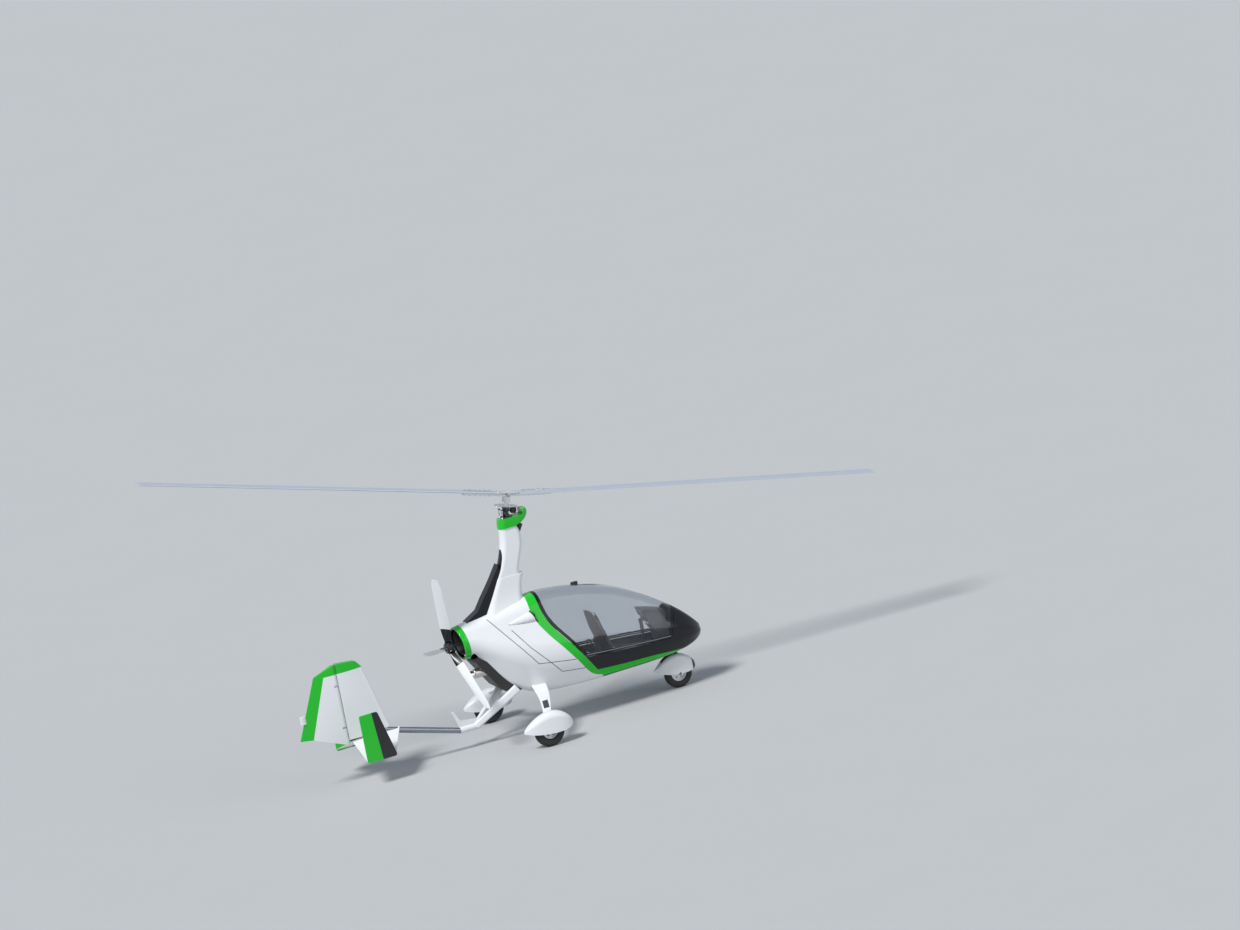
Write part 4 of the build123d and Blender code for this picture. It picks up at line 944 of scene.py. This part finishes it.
def hex_bolt(size):
    """A hexagon head on a washer, with the end of its thread standing out."""
    head, washer = size * 0.7, size * 0.12
    bpy.ops.mesh.primitive_cylinder_add(vertices=6, radius=size, depth=head, location=(0, 0, size * 0.47))
    piece = bpy.context.object
    bpy.ops.object.transform_apply(location=True, rotation=True, scale=True)
    bpy.ops.object.mode_set(mode="EDIT")
    bpy.ops.mesh.select_all(action="SELECT")
    bpy.ops.mesh.bevel(offset=size * 0.06, segments=1, affect="EDGES")
    pick(piece, "FACE", lambda m: m.z > size * 0.81)
    bpy.ops.mesh.inset(thickness=size * 0.3)
    bpy.ops.mesh.extrude_region_move(TRANSFORM_OT_translate={"value": (0, 0, size * 0.3)})
    bpy.ops.mesh.primitive_cylinder_add(
        vertices=20, radius=size * 1.35, depth=washer, location=(0, 0, washer / 2))
    bpy.ops.object.mode_set(mode="OBJECT")
    return piece


def scaled_part(piece, test, factors, centre=(0, 0, 0), kind="VERT"):
    """Scales the part of a piece that passes a test, about a point."""
    bpy.ops.object.mode_set(mode="EDIT")
    pick(piece, kind, test)
    bpy.ops.transform.resize(value=factors, center_override=centre)
    bpy.ops.object.mode_set(mode="OBJECT")
    return piece


def stepped(piece, test, inset, move):
    """Insets the faces that pass a test and moves the inner ones, for a raised or sunk middle."""
    bpy.ops.object.mode_set(mode="EDIT")
    pick(piece, "FACE", test)
    bpy.ops.mesh.inset(thickness=inset)
    bpy.ops.mesh.extrude_region_move(TRANSFORM_OT_translate={"value": move})
    bpy.ops.object.mode_set(mode="OBJECT")
    return piece


def moved(piece, matrix):
    """Places a piece that was modelled at the origin."""
    piece.data.transform(matrix)
    return piece


def repeat(piece, moves):
    """Copies a modelled piece by each matrix and joins the copies into one object."""
    twins = []
    for move in moves:
        twin = piece.copy()
        twin.data = piece.data.copy()
        twin.data.transform(move)
        scene.collection.objects.link(twin)
        twins.append(twin)
    bpy.data.objects.remove(piece)
    return joined(twins)


def joined(parts):
    """Joins several objects into the first."""
    active(parts[0])
    for part in parts:
        part.select_set(True)
    bpy.ops.object.join()
    return parts[0]


print("helpers ready")

# %% [markdown]
# The inside of the shell is lined: dark felt in the cabin and a black heat shield in the
# engine bay. Each lining is a copy of the shell's own inner faces, set 2 mm off them. A face
# is an inner one where its normal looks back at the middle of the hull.

# %% Linings
lining_gap = 0.002
hull_middle = 0.95


def lining(name, node, finish, inside_test):
    """A copy of a node's inner faces, moved off them by a small gap."""
    active(nodes[node])
    bpy.ops.object.duplicate()
    piece = bpy.context.object
    piece.parent = None
    piece.modifiers.clear()
    piece.data.materials.clear()
    bpy.ops.object.mode_set(mode="EDIT")
    bpy.ops.mesh.select_mode(type="FACE")
    bpy.ops.mesh.select_all(action="DESELECT")
    shape = bmesh.from_edit_mesh(piece.data)
    for face in shape.faces:
        middle = face.calc_center_median()
        if not inside_test(middle, face.normal):
            face.select_set(True)
    bmesh.update_edit_mesh(piece.data)
    bpy.ops.mesh.delete(type="FACE")
    bpy.ops.mesh.select_all(action="SELECT")
    bpy.ops.mesh.remove_doubles(threshold=0.0001)
    bpy.ops.transform.shrink_fatten(value=lining_gap)
    bpy.ops.object.mode_set(mode="OBJECT")
    return keep(piece, name, finish, "airframe")


def looks_in(middle, normal):
    """True where a hull face looks back at the middle line."""
    return Vector((0, middle.y, middle.z - hull_middle)).normalized().dot(normal) < -0.12


bay_rear = place(-0.43, 0, 0).x
bay_front = place(0.319, 0, 0).x
cabin_rear = place(0.327, 0, 0).x
cabin_front = place(0.985, 0, 0).x
bay_lining = lining(
    "bay_lining", "rear_body", heat_shield,
    lambda m, n: bay_rear < m.x < bay_front and (looks_in(m, n) or n.x < -0.9),
)
cabin_lining = lining(
    "cabin_lining", "rear_body", cabin_felt,
    lambda m, n: cabin_rear < m.x < cabin_front and (looks_in(m, n) or n.x > 0.9),
)
print("linings", len(bay_lining.data.polygons), len(cabin_lining.data.polygons))

# %% [markdown]
# Each seat carries two sewn pads. A pad starts as a block tapered like the seat behind it, is
# remeshed to an even grid, and a short cloth simulation blows it up under pressure. The move
# of each point is capped, and the underside is held flat on the seat shell. Channels and the
# border seam are pressed in afterwards, because the remesh would erase them.

# %% Seat cushions
# seat, station and height of its heel, length of its pan, lean of its back, length of its back
seat_rows = (
    ("front", 1.200, 0.500, 0.380, 16, 0.640),
    ("rear", 0.655, 0.596, 0.350, 14, 0.600),
)
pad_rest = 0.0053
pad_full = 0.042
pad_start = 0.028
pad_half = 0.165
seat_slack = 0.008
pad_voxel = 0.0055
swell_steps = 20
back_heel, back_top, shoulder_share, back_taper = 0.070, 0.93, 0.59, 0.068
pan_heel, pan_nose, pan_rise = 0.112, 0.024, 0.030
channel_width, channel_depth = 0.007, 0.0075
border_inset, border_width, border_depth = 0.030, 0.006, 0.0045


def pad_matrix(origin, along, out):
    """Place of a pad, x along it and z out of its seat."""
    side = out.cross(along)
    return Matrix.Translation(origin) @ Matrix((along, side, out)).transposed().to_4x4()


def half_width(row, along, is_back):
    """Half width of the pad at a distance from the heel."""
    back = row[5]
    shoulder = shoulder_share * back
    if not is_back or along < shoulder:
        return pad_half
    return pad_half - back_taper * (along - shoulder) / (back_top * back - shoulder)


def sewn_pad(row, is_back):
    """One padded cushion, swelled by cloth and sewn."""
    label, foot, height, pan, lean, back = row
    first, last = (back_heel, back_top * back) if is_back else (pan_heel, pan - pan_nose)
    length = last - first - 2 * seat_slack
    angle = math.radians(90 + lean) if is_back else math.atan2(pan_rise, pan)
    along = Vector((math.cos(angle), 0, math.sin(angle)))
    out = Vector((-math.sin(angle), 0, math.cos(angle)))
    if is_back:
        out.negate()
    size = (length, 2 * pad_half - 2 * seat_slack, pad_start)
    bpy.ops.mesh.primitive_cube_add(size=1, location=(0, 0, 0), scale=size)
    piece = bpy.context.object
    bpy.ops.object.transform_apply(location=True, rotation=True, scale=True)
    bpy.ops.object.mode_set(mode="EDIT")
    bpy.ops.mesh.select_all(action="SELECT")
    bpy.ops.mesh.subdivide(number_cuts=11)
    bpy.ops.object.mode_set(mode="OBJECT")
    middle = (first + last) / 2
    for vertex in piece.data.vertices:
        vertex.co.y *= half_width(row, middle + vertex.co.x, is_back) / pad_half
        rounding = max(0.0, abs(vertex.co.x) / (length / 2) - 0.80) / 0.20
        vertex.co.y *= 1 - 0.10 * rounding ** 2
    remesh = piece.modifiers.new("grid", "REMESH")
    remesh.mode = "VOXEL"
    remesh.voxel_size = pad_voxel
    bpy.ops.object.modifier_apply(modifier=remesh.name)
    flat = [vertex.co.copy() for vertex in piece.data.vertices]
    floor_z = -pad_start / 2
    cloth = piece.modifiers.new("swell", "CLOTH")
    cloth.settings.use_pressure = True
    cloth.settings.uniform_pressure_force = 4
    cloth.settings.effector_weights.gravity = 0
    cloth.point_cache.frame_start = 1
    cloth.point_cache.frame_end = swell_steps
    for step in range(swell_steps):
        scene.frame_set(step + 1)
    bpy.ops.object.modifier_apply(modifier=cloth.name)
    scene.frame_set(1)
    cap = pad_full - pad_start - 0.001
    seams = [length * share for share in ((-0.25, 0.0, 0.25) if is_back else (-0.2, 0.2))]
    for vertex, before in zip(piece.data.vertices, flat):
        step = vertex.co - before
        if step.length > cap:
            step.length = cap
        vertex.co = before + step
        vertex.co.z = max(vertex.co.z, floor_z)
        if before.z > 0:
            half = half_width(row, middle + before.x, is_back)
            edge = min(length / 2 - abs(before.x), half - abs(before.y)) - border_inset
            pinch = sum(math.exp(-((before.x - seam) / channel_width) ** 2) for seam in seams)
            border = math.exp(-(edge / border_width) ** 2)
            inner = min(1.0, max(0.0, edge / 0.02))
            vertex.co.z -= channel_depth * pinch * inner + border_depth * border
    smooth = piece.modifiers.new("round", "SUBSURF")
    smooth.levels = 1
    smooth.render_levels = 1
    bpy.ops.object.modifier_apply(modifier=smooth.name)
    rest = place(foot, 0, height) + along * middle + out * (pad_rest + pad_start / 2 + 0.0005)
    moved(piece, pad_matrix(rest, along, out))
    keep(piece, f"{label}_{'back' if is_back else 'pan'}_pad", seat_fabric, "airframe", 60)
    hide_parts(f"{label}_cushions")
    return piece


pads = [sewn_pad(row, is_back) for row in seat_rows for is_back in (False, True)]
print("pads", [(pad.name, len(pad.data.polygons)) for pad in pads])

# %% [markdown]
# Harness webbing is flat and stiff enough to model directly: an edge is extruded along the
# strap's way over the pads, then given its thickness. A buckle closes the four straps.

# %% Harness
strap_width = 0.045


def strap(way, across):
    """Flat webbing along a way of points, its width laid across them."""
    across = Vector(across).normalized() * strap_width
    piece = one_point(way[0] - across / 2)
    bpy.ops.mesh.extrude_region_move(TRANSFORM_OT_translate={"value": across})
    pick(piece, "EDGE", lambda m: True)
    for before, after in zip(way, way[1:]):
        bpy.ops.mesh.extrude_region_move(TRANSFORM_OT_translate={"value": after - before})
    bpy.ops.object.mode_set(mode="OBJECT")
    round_off = piece.modifiers.new("round", "SUBSURF")
    round_off.levels = 2
    round_off.render_levels = 2
    round_off.boundary_smooth = "PRESERVE_CORNERS"
    thick = piece.modifiers.new("thick", "SOLIDIFY")
    thick.thickness = 0.0022
    thick.offset = 0
    return settle(piece)


for label, foot, height, pan, lean, back in seat_rows:
    lean = math.radians(lean)
    proud = pad_rest + pad_full + 0.004

    def on_back(share, lift, y=0.0):
        """A point in front of the seat's back, at a share of its length."""
        run = back * share
        station = foot - run * math.sin(lean) + lift * math.cos(lean)
        return place(station, y, height + run * math.cos(lean) + lift * math.sin(lean))

    parts = []
    for side in (1, -1):
        drop = ((0.99, -0.012, 0.072), (0.985, 0.022, 0.072), (0.93, proud, 0.070), (0.75, proud, 0.062),
                (0.5, proud, 0.050), (0.3, proud, 0.037), (0.2, proud + 0.010, 0.027))
        parts.append(strap([on_back(share, lift, side * y) for share, lift, y in drop], (0, 1, 0)))
        lap = ((0.020, 0.184, 0.022), (0.040, 0.168, 0.070), (0.058, 0.135, 0.100), (0.060, 0.085, 0.114),
               (0.042, 0.030, 0.118))
        parts.append(strap([place(foot + x, side * y, height + z) for x, y, z in lap], (-0.55, 0, 0.835)))
    keep(joined(parts), f"{label}_harness", harness_webbing, "airframe", 50)
    buckle = stepped(block((0.018, 0.062, 0.055), 0.005), lambda m: m.x > 0.0085, 0.012, (0.004, 0, 0))
    spot = on_back(0.175, proud + 0.016)
    moved(buckle, pointing(spot, (-math.sin(lean), 0, math.cos(lean)), (1, 0, 0)))
    keep(buckle, f"{label}_buckle", bolt_steel, "airframe")
print("harnesses", len(seat_rows))

# %% [markdown]
# The instrument panel faces the front seat. Its face leans, so round dials and the screen
# are modelled flat at the origin and then set on it by one matrix, whose z is square to
# the panel.

# %% Instruments
panel_low = place(1.680, 0, 0.800)
panel_top = place(1.610, 0, 0.965)
panel_up = (panel_top - panel_low).normalized()
panel_out = Vector((-panel_up.z, 0, panel_up.x))


def on_panel(across, up, lift=0.0):
    """Matrix of a spot on the panel, x to port, y up the panel and z out of it."""
    turn = Matrix((Vector((0, -1, 0)), panel_up, panel_out)).transposed().to_4x4()
    spot = panel_low + panel_up * up + Vector((0, across, 0)) + panel_out * lift
    return Matrix.Translation(spot) @ turn


def on_dial(y, up, lift, angle, out):
    """Matrix of a spot on a dial, turned about its middle and moved out towards its rim."""
    return on_panel(y, up, lift) @ Matrix.Rotation(angle, 4, "Z") @ Matrix.Translation((0, out, 0))


bezel_profile = (
    (0.020, 0.0), (0.031, 0.0), (0.0325, 0.003), (0.031, 0.006), (0.027, 0.0075), (0.0255, 0.004),
    (0.0255, 0.002),
)
glass_profile = ((0.0, 0.0035), (0.012, 0.0034), (0.0258, 0.003))
needle_size = (0.0022, 0.019, 0.0006)
# each dial's place across and up the panel, and its needle's angle
dial_spots = ((0.058, 0.132, 30), (0.058, 0.058, 200), (-0.060, 0.058, 120))
bezels = repeat(lathe(bezel_profile, 40), [on_panel(y, up) for y, up, angle in dial_spots])
keep(bezels, "dial_bezels", dial_black, "airframe")
faces = repeat(lathe(glass_profile, 40), [on_panel(y, up) for y, up, angle in dial_spots])
keep(faces, "dial_faces", dial_face, "airframe")
tip = needle_size[1] / 2
needle = scaled_part(
    block(needle_size, 0.0002, 1), lambda m: m.y > tip * 0.98, (0.3, 1, 1), (0, tip, 0), "FACE")
needle_spots = [on_dial(y, up, 0.0045, math.radians(angle), 0.0065) for y, up, angle in dial_spots]
keep(repeat(needle, needle_spots), "dial_needles", pale_plastic, "airframe")

mark = block((0.0009, 0.0042, 0.0004), 0.0001, 1)
mark_count = 12
mark_spots = [
    on_dial(y, up, 0.0037, math.tau * step / mark_count, 0.0205)
    for y, up, angle in dial_spots for step in range(mark_count)
]
keep(repeat(mark, mark_spots), "dial_marks", pale_plastic, "airframe")

screen = stepped(block((0.086, 0.070, 0.010), 0.003), lambda m: m.z > 0.0049, 0.007, (0, 0, -0.002))
keep(moved(screen, on_panel(-0.045, 0.130, 0.005)), "panel_screen", screen_glass, "airframe")

switch = lathe((
    (0.0, 0.0), (0.006, 0.0), (0.006, 0.003), (0.003, 0.0045), (0.0022, 0.013), (0.003, 0.016), (0.0, 0.017),
), 16)
flick = Matrix.Rotation(math.radians(18), 4, "X")
switches = repeat(switch, [on_panel(0.060 - 0.024 * step, 0.012) @ flick for step in range(6)])
keep(switches, "panel_switches", bolt_steel, "airframe")

# a hood over the panel, arched from side to side and drooping at its ends
hood_arch, hood_droop = 0.9, 0.35
hood = block((0.26, 0.232, 0.010), 0.004)
bpy.ops.object.mode_set(mode="EDIT")
bpy.ops.mesh.select_all(action="SELECT")
bpy.ops.mesh.subdivide(number_cuts=6)
bpy.ops.object.mode_set(mode="OBJECT")
for vertex in hood.data.vertices:
    vertex.co.z -= hood_arch * vertex.co.y ** 2 + hood_droop * (vertex.co.x - 0.02) ** 2
moved(hood, Matrix.Translation(place(1.735, 0, 0.962)) @ Matrix.Rotation(math.radians(16), 4, "Y"))
keep(hood, "panel_hood", black_trim, "airframe", 50)
print("instruments on the panel")

# %% [markdown]
# A stick's grip is moulded for the hand: a turned body with finger waves, a wider crown
# and two buttons tilted forward. It covers the plain CAD grip, and a rubber boot closes the
# floor round the stick's foot.

# %% Stick grips
grip_profile = (
    (0.0120, -0.012), (0.0200, -0.010), (0.0215, 0.000), (0.0190, 0.012), (0.0212, 0.026), (0.0188, 0.040),
    (0.0210, 0.054), (0.0188, 0.068), (0.0208, 0.082), (0.0195, 0.096), (0.0235, 0.112), (0.0245, 0.126),
    (0.0210, 0.138), (0.0120, 0.144), (0.0, 0.145),
)
button_profile = ((0.0, 0.0), (0.0055, 0.0), (0.0055, 0.004), (0.004, 0.006), (0.0, 0.0065))
bellows_profile = (
    (0.050, 0.0), (0.052, 0.006), (0.040, 0.012), (0.044, 0.018), (0.032, 0.024), (0.036, 0.030),
    (0.024, 0.036), (0.028, 0.042), (0.016, 0.048), (0.0125, 0.052),
)
cabin_floor_height = 0.457
for label, station, top in (("front", 1.612, 0.846), ("rear", 1.052, 0.786)):
    grip = lathe(grip_profile, 28)
    foot = place(station, 0, top - 0.120)
    moved(grip, Matrix.Translation(foot))
    button = lathe(button_profile, 16)
    spots = [pointing(foot + Vector((0.010, y, 0.139)), (0.5, 0, 1)) for y in (0.009, -0.009)]
    buttons = repeat(button, spots)
    keep(grip, f"{label}_stick_grip", grip_rubber, "airframe", 50)
    keep(buttons, f"{label}_stick_buttons", red_plastic, "airframe")
    bellows = moved(lathe(bellows_profile, 28), Matrix.Translation(place(station, 0, cabin_floor_height)))
    keep(bellows, f"{label}_stick_boot", grip_rubber, "airframe", 60)
print("grips fitted")

# %% [markdown]
# The main wheels get the bolts that hold the two halves of each rim, and a brake disc on
# their inner side. They turn with their wheel, so each set rides on that wheel's own body.

# %% Wheel bolts and brake discs
tyre_radius = 0.175
rim_bolt_size = 0.0055
bolt_circle = 0.060
bolt_out = 0.0065
disc_in = 0.0345
disc_profile = (
    (0.034, -0.0026), (0.076, -0.0026), (0.0765, 0.0), (0.076, 0.0026), (0.034, 0.0026), (0.034, -0.0026),
)
for label, side in (("left", 1.0), ("right", -1.0)):
    centre = place(0.0, side * wheel_middle, tyre_radius)
    spots = []
    for step in range(6):
        angle = math.radians(30 + 60 * step)
        offset = Vector((bolt_circle * math.cos(angle), side * bolt_out, bolt_circle * math.sin(angle)))
        spots.append(pointing(centre + offset, (0, side, 0)))
    bolts = repeat(hex_bolt(rim_bolt_size), spots)
    keep(bolts, f"{label}_rim_bolts", bolt_steel, f"{label}_wheel")
    disc = moved(lathe(disc_profile, 56), pointing(centre - Vector((0, side * disc_in, 0)), (0, side, 0)))
    keep(disc, f"{label}_brake_disc", bolt_steel, f"{label}_wheel")
print("rim bolts and discs")

# %% [markdown]
# The rotor head is the machine's most worked part. Blade plates with their bolts and a block
# on the hub bar turn and teeter with the rotor, the pre-rotator motor hangs from the head
# under its gear ring, and two push rods tilt the head. Each piece rides on its own CAD body.

# %% Rotor head
teeter_point = place(0.375, 0, 2.618)
shaft_lean = math.radians(14.4)
shaft = Vector((math.sin(shaft_lean), 0, math.cos(shaft_lean)))
ahead = Vector((shaft.z, 0, -shaft.x))
to_port = Vector((0, 1, 0))
pitch_point = teeter_point - shaft * 0.200
cone = math.radians(2.25)
bar_half = 0.011


def on_arm(facing, out, across, rise):
    """Matrix of a spot on one half of the hub bar, x outward and z up."""
    run = ahead * (facing * math.cos(cone)) + shaft * math.sin(cone)
    up = shaft * math.cos(cone) - ahead * (facing * math.sin(cone))
    turn = Matrix((run, up.cross(run), up)).transposed().to_4x4()
    return Matrix.Translation(teeter_point + run * out + up * rise + to_port * across) @ turn


# a tapered plate and two rows of bolts clamp each blade to its half of the bar
plate = scaled_part(block((0.34, 0.056, 0.005), 0.002, 2), lambda m: m.x > 0.16, (1, 0.55, 1))
blade_thick = 0.026 * 1.03
blade_top = bar_half + blade_thick
plate_out, first_bolt, bolt_gap = 0.345, 0.20, 0.058
plates = repeat(plate, [on_arm(facing, plate_out, 0, blade_top + 0.0022) for facing in (1, -1)])
keep(plates, "blade_plates", bright_alloy, "teeter")
bolt_size = 0.0068
bolt_spots = [
    on_arm(facing, first_bolt + bolt_gap * step, across, blade_top + 0.0045)
    for facing in (1, -1) for step in range(6) for across in ((0.016, -0.016) if step < 5 else (0.0,))
]
keep(repeat(hex_bolt(bolt_size), bolt_spots), "blade_bolts", bolt_steel, "teeter")
through_bar = Matrix.Translation((0, 0, -blade_top - bar_half - 0.0045)) @ Matrix.Rotation(math.pi, 4, "X")
nut_spots = [spot @ through_bar for spot in bolt_spots]
keep(repeat(hex_bolt(bolt_size), nut_spots), "blade_nuts", bolt_steel, "teeter")

hub_block = stepped(block((0.250, 0.074, 0.024), 0.005, 3), lambda m: m.z > 0.0119, 0.008, (0, 0, -0.004))
moved(hub_block, pointing(teeter_point + shaft * (bar_half + 0.0175), shaft, ahead))
keep(hub_block, "hub_block", bright_alloy, "teeter")

bolt_reach = 0.0665
teeter_bolt = lathe((
    (0.0, 0.0), (0.016, 0.0), (0.016, 0.004), (0.012, 0.0045), (0.012, 0.013), (0.010, 0.015), (0.0, 0.015),
), 6)
ends = [pointing(teeter_point + to_port * (side * bolt_reach), to_port * side) for side in (1, -1)]
keep(repeat(teeter_bolt, ends), "teeter_bolt_ends", bolt_steel, "teeter")
print("hub dressed")

motor = block((0.058, 0.056, 0.066), 0.010, 4)
stepped(motor, lambda m: m.z > 0.0325, 0.010, (0, 0, 0.006))
stepped(motor, lambda m: m.x > 0.0285, 0.008, (0.007, 0, 0))
moved(motor, pointing(pitch_point + ahead * 0.083 + shaft * 0.036, shaft, ahead))
keep(motor, "spin_up_motor", black_trim, "head_roll")
bracket = block((0.050, 0.030, 0.006), 0.0015, 2)
moved(bracket, pointing(pitch_point + ahead * 0.050 + shaft * 0.066, shaft, ahead))
keep(bracket, "motor_bracket", machined_alloy, "head_roll")


def rod(start, finish_point, radius):
    """A push rod with a threaded end and a ball eye at both ends."""
    run = finish_point - start
    length = run.length
    eye = radius * 2.1
    thread = radius * 0.6
    lower_end = (
        (0.0, -eye), (eye * 0.7, -eye * 0.7), (eye, 0.0), (eye * 0.7, eye * 0.8),
        (thread, eye * 1.2), (thread, eye * 2.6), (radius, eye * 3.0),
    )
    upper_end = tuple((wide, length - height) for wide, height in reversed(lower_end))
    return moved(lathe(lower_end + upper_end, 20), pointing(start, run))


rods = []
for side in (1, -1):
    low = pitch_point + Vector((-0.062, side * 0.036, -0.040))
    high = pitch_point + Vector((-0.058, side * 0.036, 0.058))
    rods.append(rod(low, high, 0.0055))
keep(joined(rods), "head_push_rods", bolt_steel, "head_pitch")
yoke = block((0.020, 0.092, 0.014), 0.004, 3)
moved(yoke, pointing(pitch_point + Vector((-0.050, 0, 0.052)), shaft, ahead))
keep(yoke, "head_yoke", dark_steel, "head_pitch")

tooth = block((0.0085, 0.0034, 0.0078), 0.0007, 1)
tooth_count = 96
tooth_circle = 0.1215
tooth_spots = []
for step in range(tooth_count):
    angle = math.tau * step / tooth_count
    out = ahead * math.cos(angle) + to_port * math.sin(angle)
    tooth_spots.append(pointing(pitch_point + shaft * 0.085 + out * tooth_circle, shaft, out))
keep(repeat(tooth, tooth_spots), "ring_gear_teeth", machined_alloy, "rotor")

wedge = scaled_part(
    block((0.062, 0.090, 0.078), 0.008, 3), lambda m: m.z < -0.02, (0.45, 0.8, 1), (-0.031, 0, 0))
moved(wedge, Matrix.Translation(place(0.446, 0, 2.234)))
keep(wedge, "mast_front_block", black_trim, "airframe")
print("head dressed")

# %% [markdown]
# Behind the propeller a clamp plate and six bolts close the hub, and a collar grips each
# blade's root. They turn with the propeller.

# %% Propeller hub
hub_rear = prop_centre + prop_axis * 0.033
clamp = lathe((
    (0.0, 0.0), (0.052, 0.0), (0.055, 0.002), (0.055, 0.008), (0.052, 0.010), (0.030, 0.0105),
    (0.026, 0.014), (0.016, 0.017), (0.0, 0.018),
), 48)
keep(moved(clamp, pointing(hub_rear, prop_axis)), "prop_clamp_plate", black_trim, "propeller")
on_clamp = pointing(hub_rear + prop_axis * 0.010, prop_axis)
to_bolt = Matrix.Translation((0.041, 0, 0))
spots = [on_clamp @ Matrix.Rotation(math.radians(15 + 60 * step), 4, "Z") @ to_bolt for step in range(6)]
keep(repeat(hex_bolt(0.0062), spots), "prop_bolts", bolt_steel, "propeller")
collar = lathe((
    (0.036, 0.0), (0.0395, 0.002), (0.0395, 0.010), (0.036, 0.012), (0.030, 0.012), (0.030, 0.0),
    (0.036, 0.0),
), 36)
collar_out = 0.058
upright = to_port.cross(prop_axis)
spots = []
for step in range(3):
    angle = math.radians(75 + 120 * step)
    out = upright * math.sin(angle) - to_port * math.cos(angle)
    spots.append(pointing(prop_centre + out * collar_out, out))
keep(repeat(collar, spots), "blade_collars", dark_steel, "propeller")
print("propeller hub dressed")

# %% [markdown]
# Each shoulder scoop has a thin cover of the same paint bonded over its front half. A flat
# grid is bent round the scoop's oval sections, which widen towards the mouth, and solidified.

# %% Scoop covers
# station, height and distance from the middle of a section, then its half height and half width
scoop_rows = (
    (0.030, 1.266, 0.198, 0.012, 0.012),
    (0.180, 1.278, 0.208, 0.040, 0.026),
    (0.322, 1.290, 0.214, 0.054, 0.034),
)
scoop_lean = math.radians(17)
cover_start, cover_end = 0.205, 0.3235
cover_low, cover_high = math.radians(-78), math.radians(112)
cover_proud = 0.0012


def scoop_row(station):
    """The scoop's section at a station, on the smooth line through its three rows."""
    stations = [row[0] for row in scoop_rows]
    found = [0.0] * 4
    for number, row in enumerate(scoop_rows):
        weight = 1.0
        for other, spot in enumerate(stations):
            if other != number:
                weight *= (station - spot) / (stations[number] - spot)
        found = [value + weight * part for value, part in zip(found, row[1:])]
    return found


covers = []
for facing in (1, -1):
    bpy.ops.mesh.primitive_grid_add(x_subdivisions=12, y_subdivisions=30, size=1, location=(0, 0, 0))
    cover = bpy.context.object
    for vertex in cover.data.vertices:
        station = cover_start + (cover_end - cover_start) * (vertex.co.x + 0.5)
        angle = cover_low + (cover_high - cover_low) * (vertex.co.y + 0.5)
        height, reach, half_tall, half_wide = scoop_row(station)
        out = (half_wide + cover_proud) * math.cos(angle)
        up = (half_tall + cover_proud) * math.sin(angle)
        y = reach + out * math.cos(scoop_lean) - up * math.sin(scoop_lean)
        z = height + out * math.sin(scoop_lean) + up * math.cos(scoop_lean)
        vertex.co = place(station, facing * y, z)
    if facing < 0:
        bpy.ops.object.mode_set(mode="EDIT")
        bpy.ops.mesh.select_all(action="SELECT")
        bpy.ops.mesh.flip_normals()
        bpy.ops.object.mode_set(mode="OBJECT")
    thick = cover.modifiers.new("thick", "SOLIDIFY")
    thick.thickness = 0.0014
    thick.offset = -1
    covers.append(settle(cover))
keep(joined(covers), "scoop_covers", body_paint, "airframe")
print("scoop covers", len(covers))

# %% [markdown]
# A bright sleeve shields the tail pipe where it leaves the silencer. It is one profile spun
# round the pipe's line, rolled over at its mouth, and it ends well before the propeller's
# blades pass.

# %% Exhaust sleeve
sleeve = lathe((
    (0.024, 0.0), (0.040, 0.0), (0.045, 0.004), (0.047, 0.014), (0.0465, 0.018), (0.047, 0.022),
    (0.047, 0.082), (0.0462, 0.087), (0.044, 0.0885), (0.0415, 0.086), (0.041, 0.080), (0.041, 0.030),
    (0.024, 0.022), (0.024, 0.0),
), 48)
moved(sleeve, pointing(place(-0.4405, -0.07, 0.808), (-1, 0, 0)))
keep(sleeve, "exhaust_sleeve", bright_alloy, "airframe")
print("exhaust sleeve", tuple(round(size, 3) for size in sleeve.dimensions))

# %% [markdown]
# Inside the cowl ring a black tube leads the cooling air from the engine bay out to the
# propeller. It closes the view from the ring down through the bay's open floor.

# %% Cooling tube
tube_front = prop_centre - prop_axis * 0.275
tube = lathe((
    (0.1365, 0.0), (0.1385, 0.0), (0.1385, 0.150), (0.1375, 0.1515), (0.1365, 0.150), (0.1365, 0.0),
), 64)
keep(moved(tube, pointing(tube_front, prop_axis)), "cooling_tube", black_trim, "airframe")
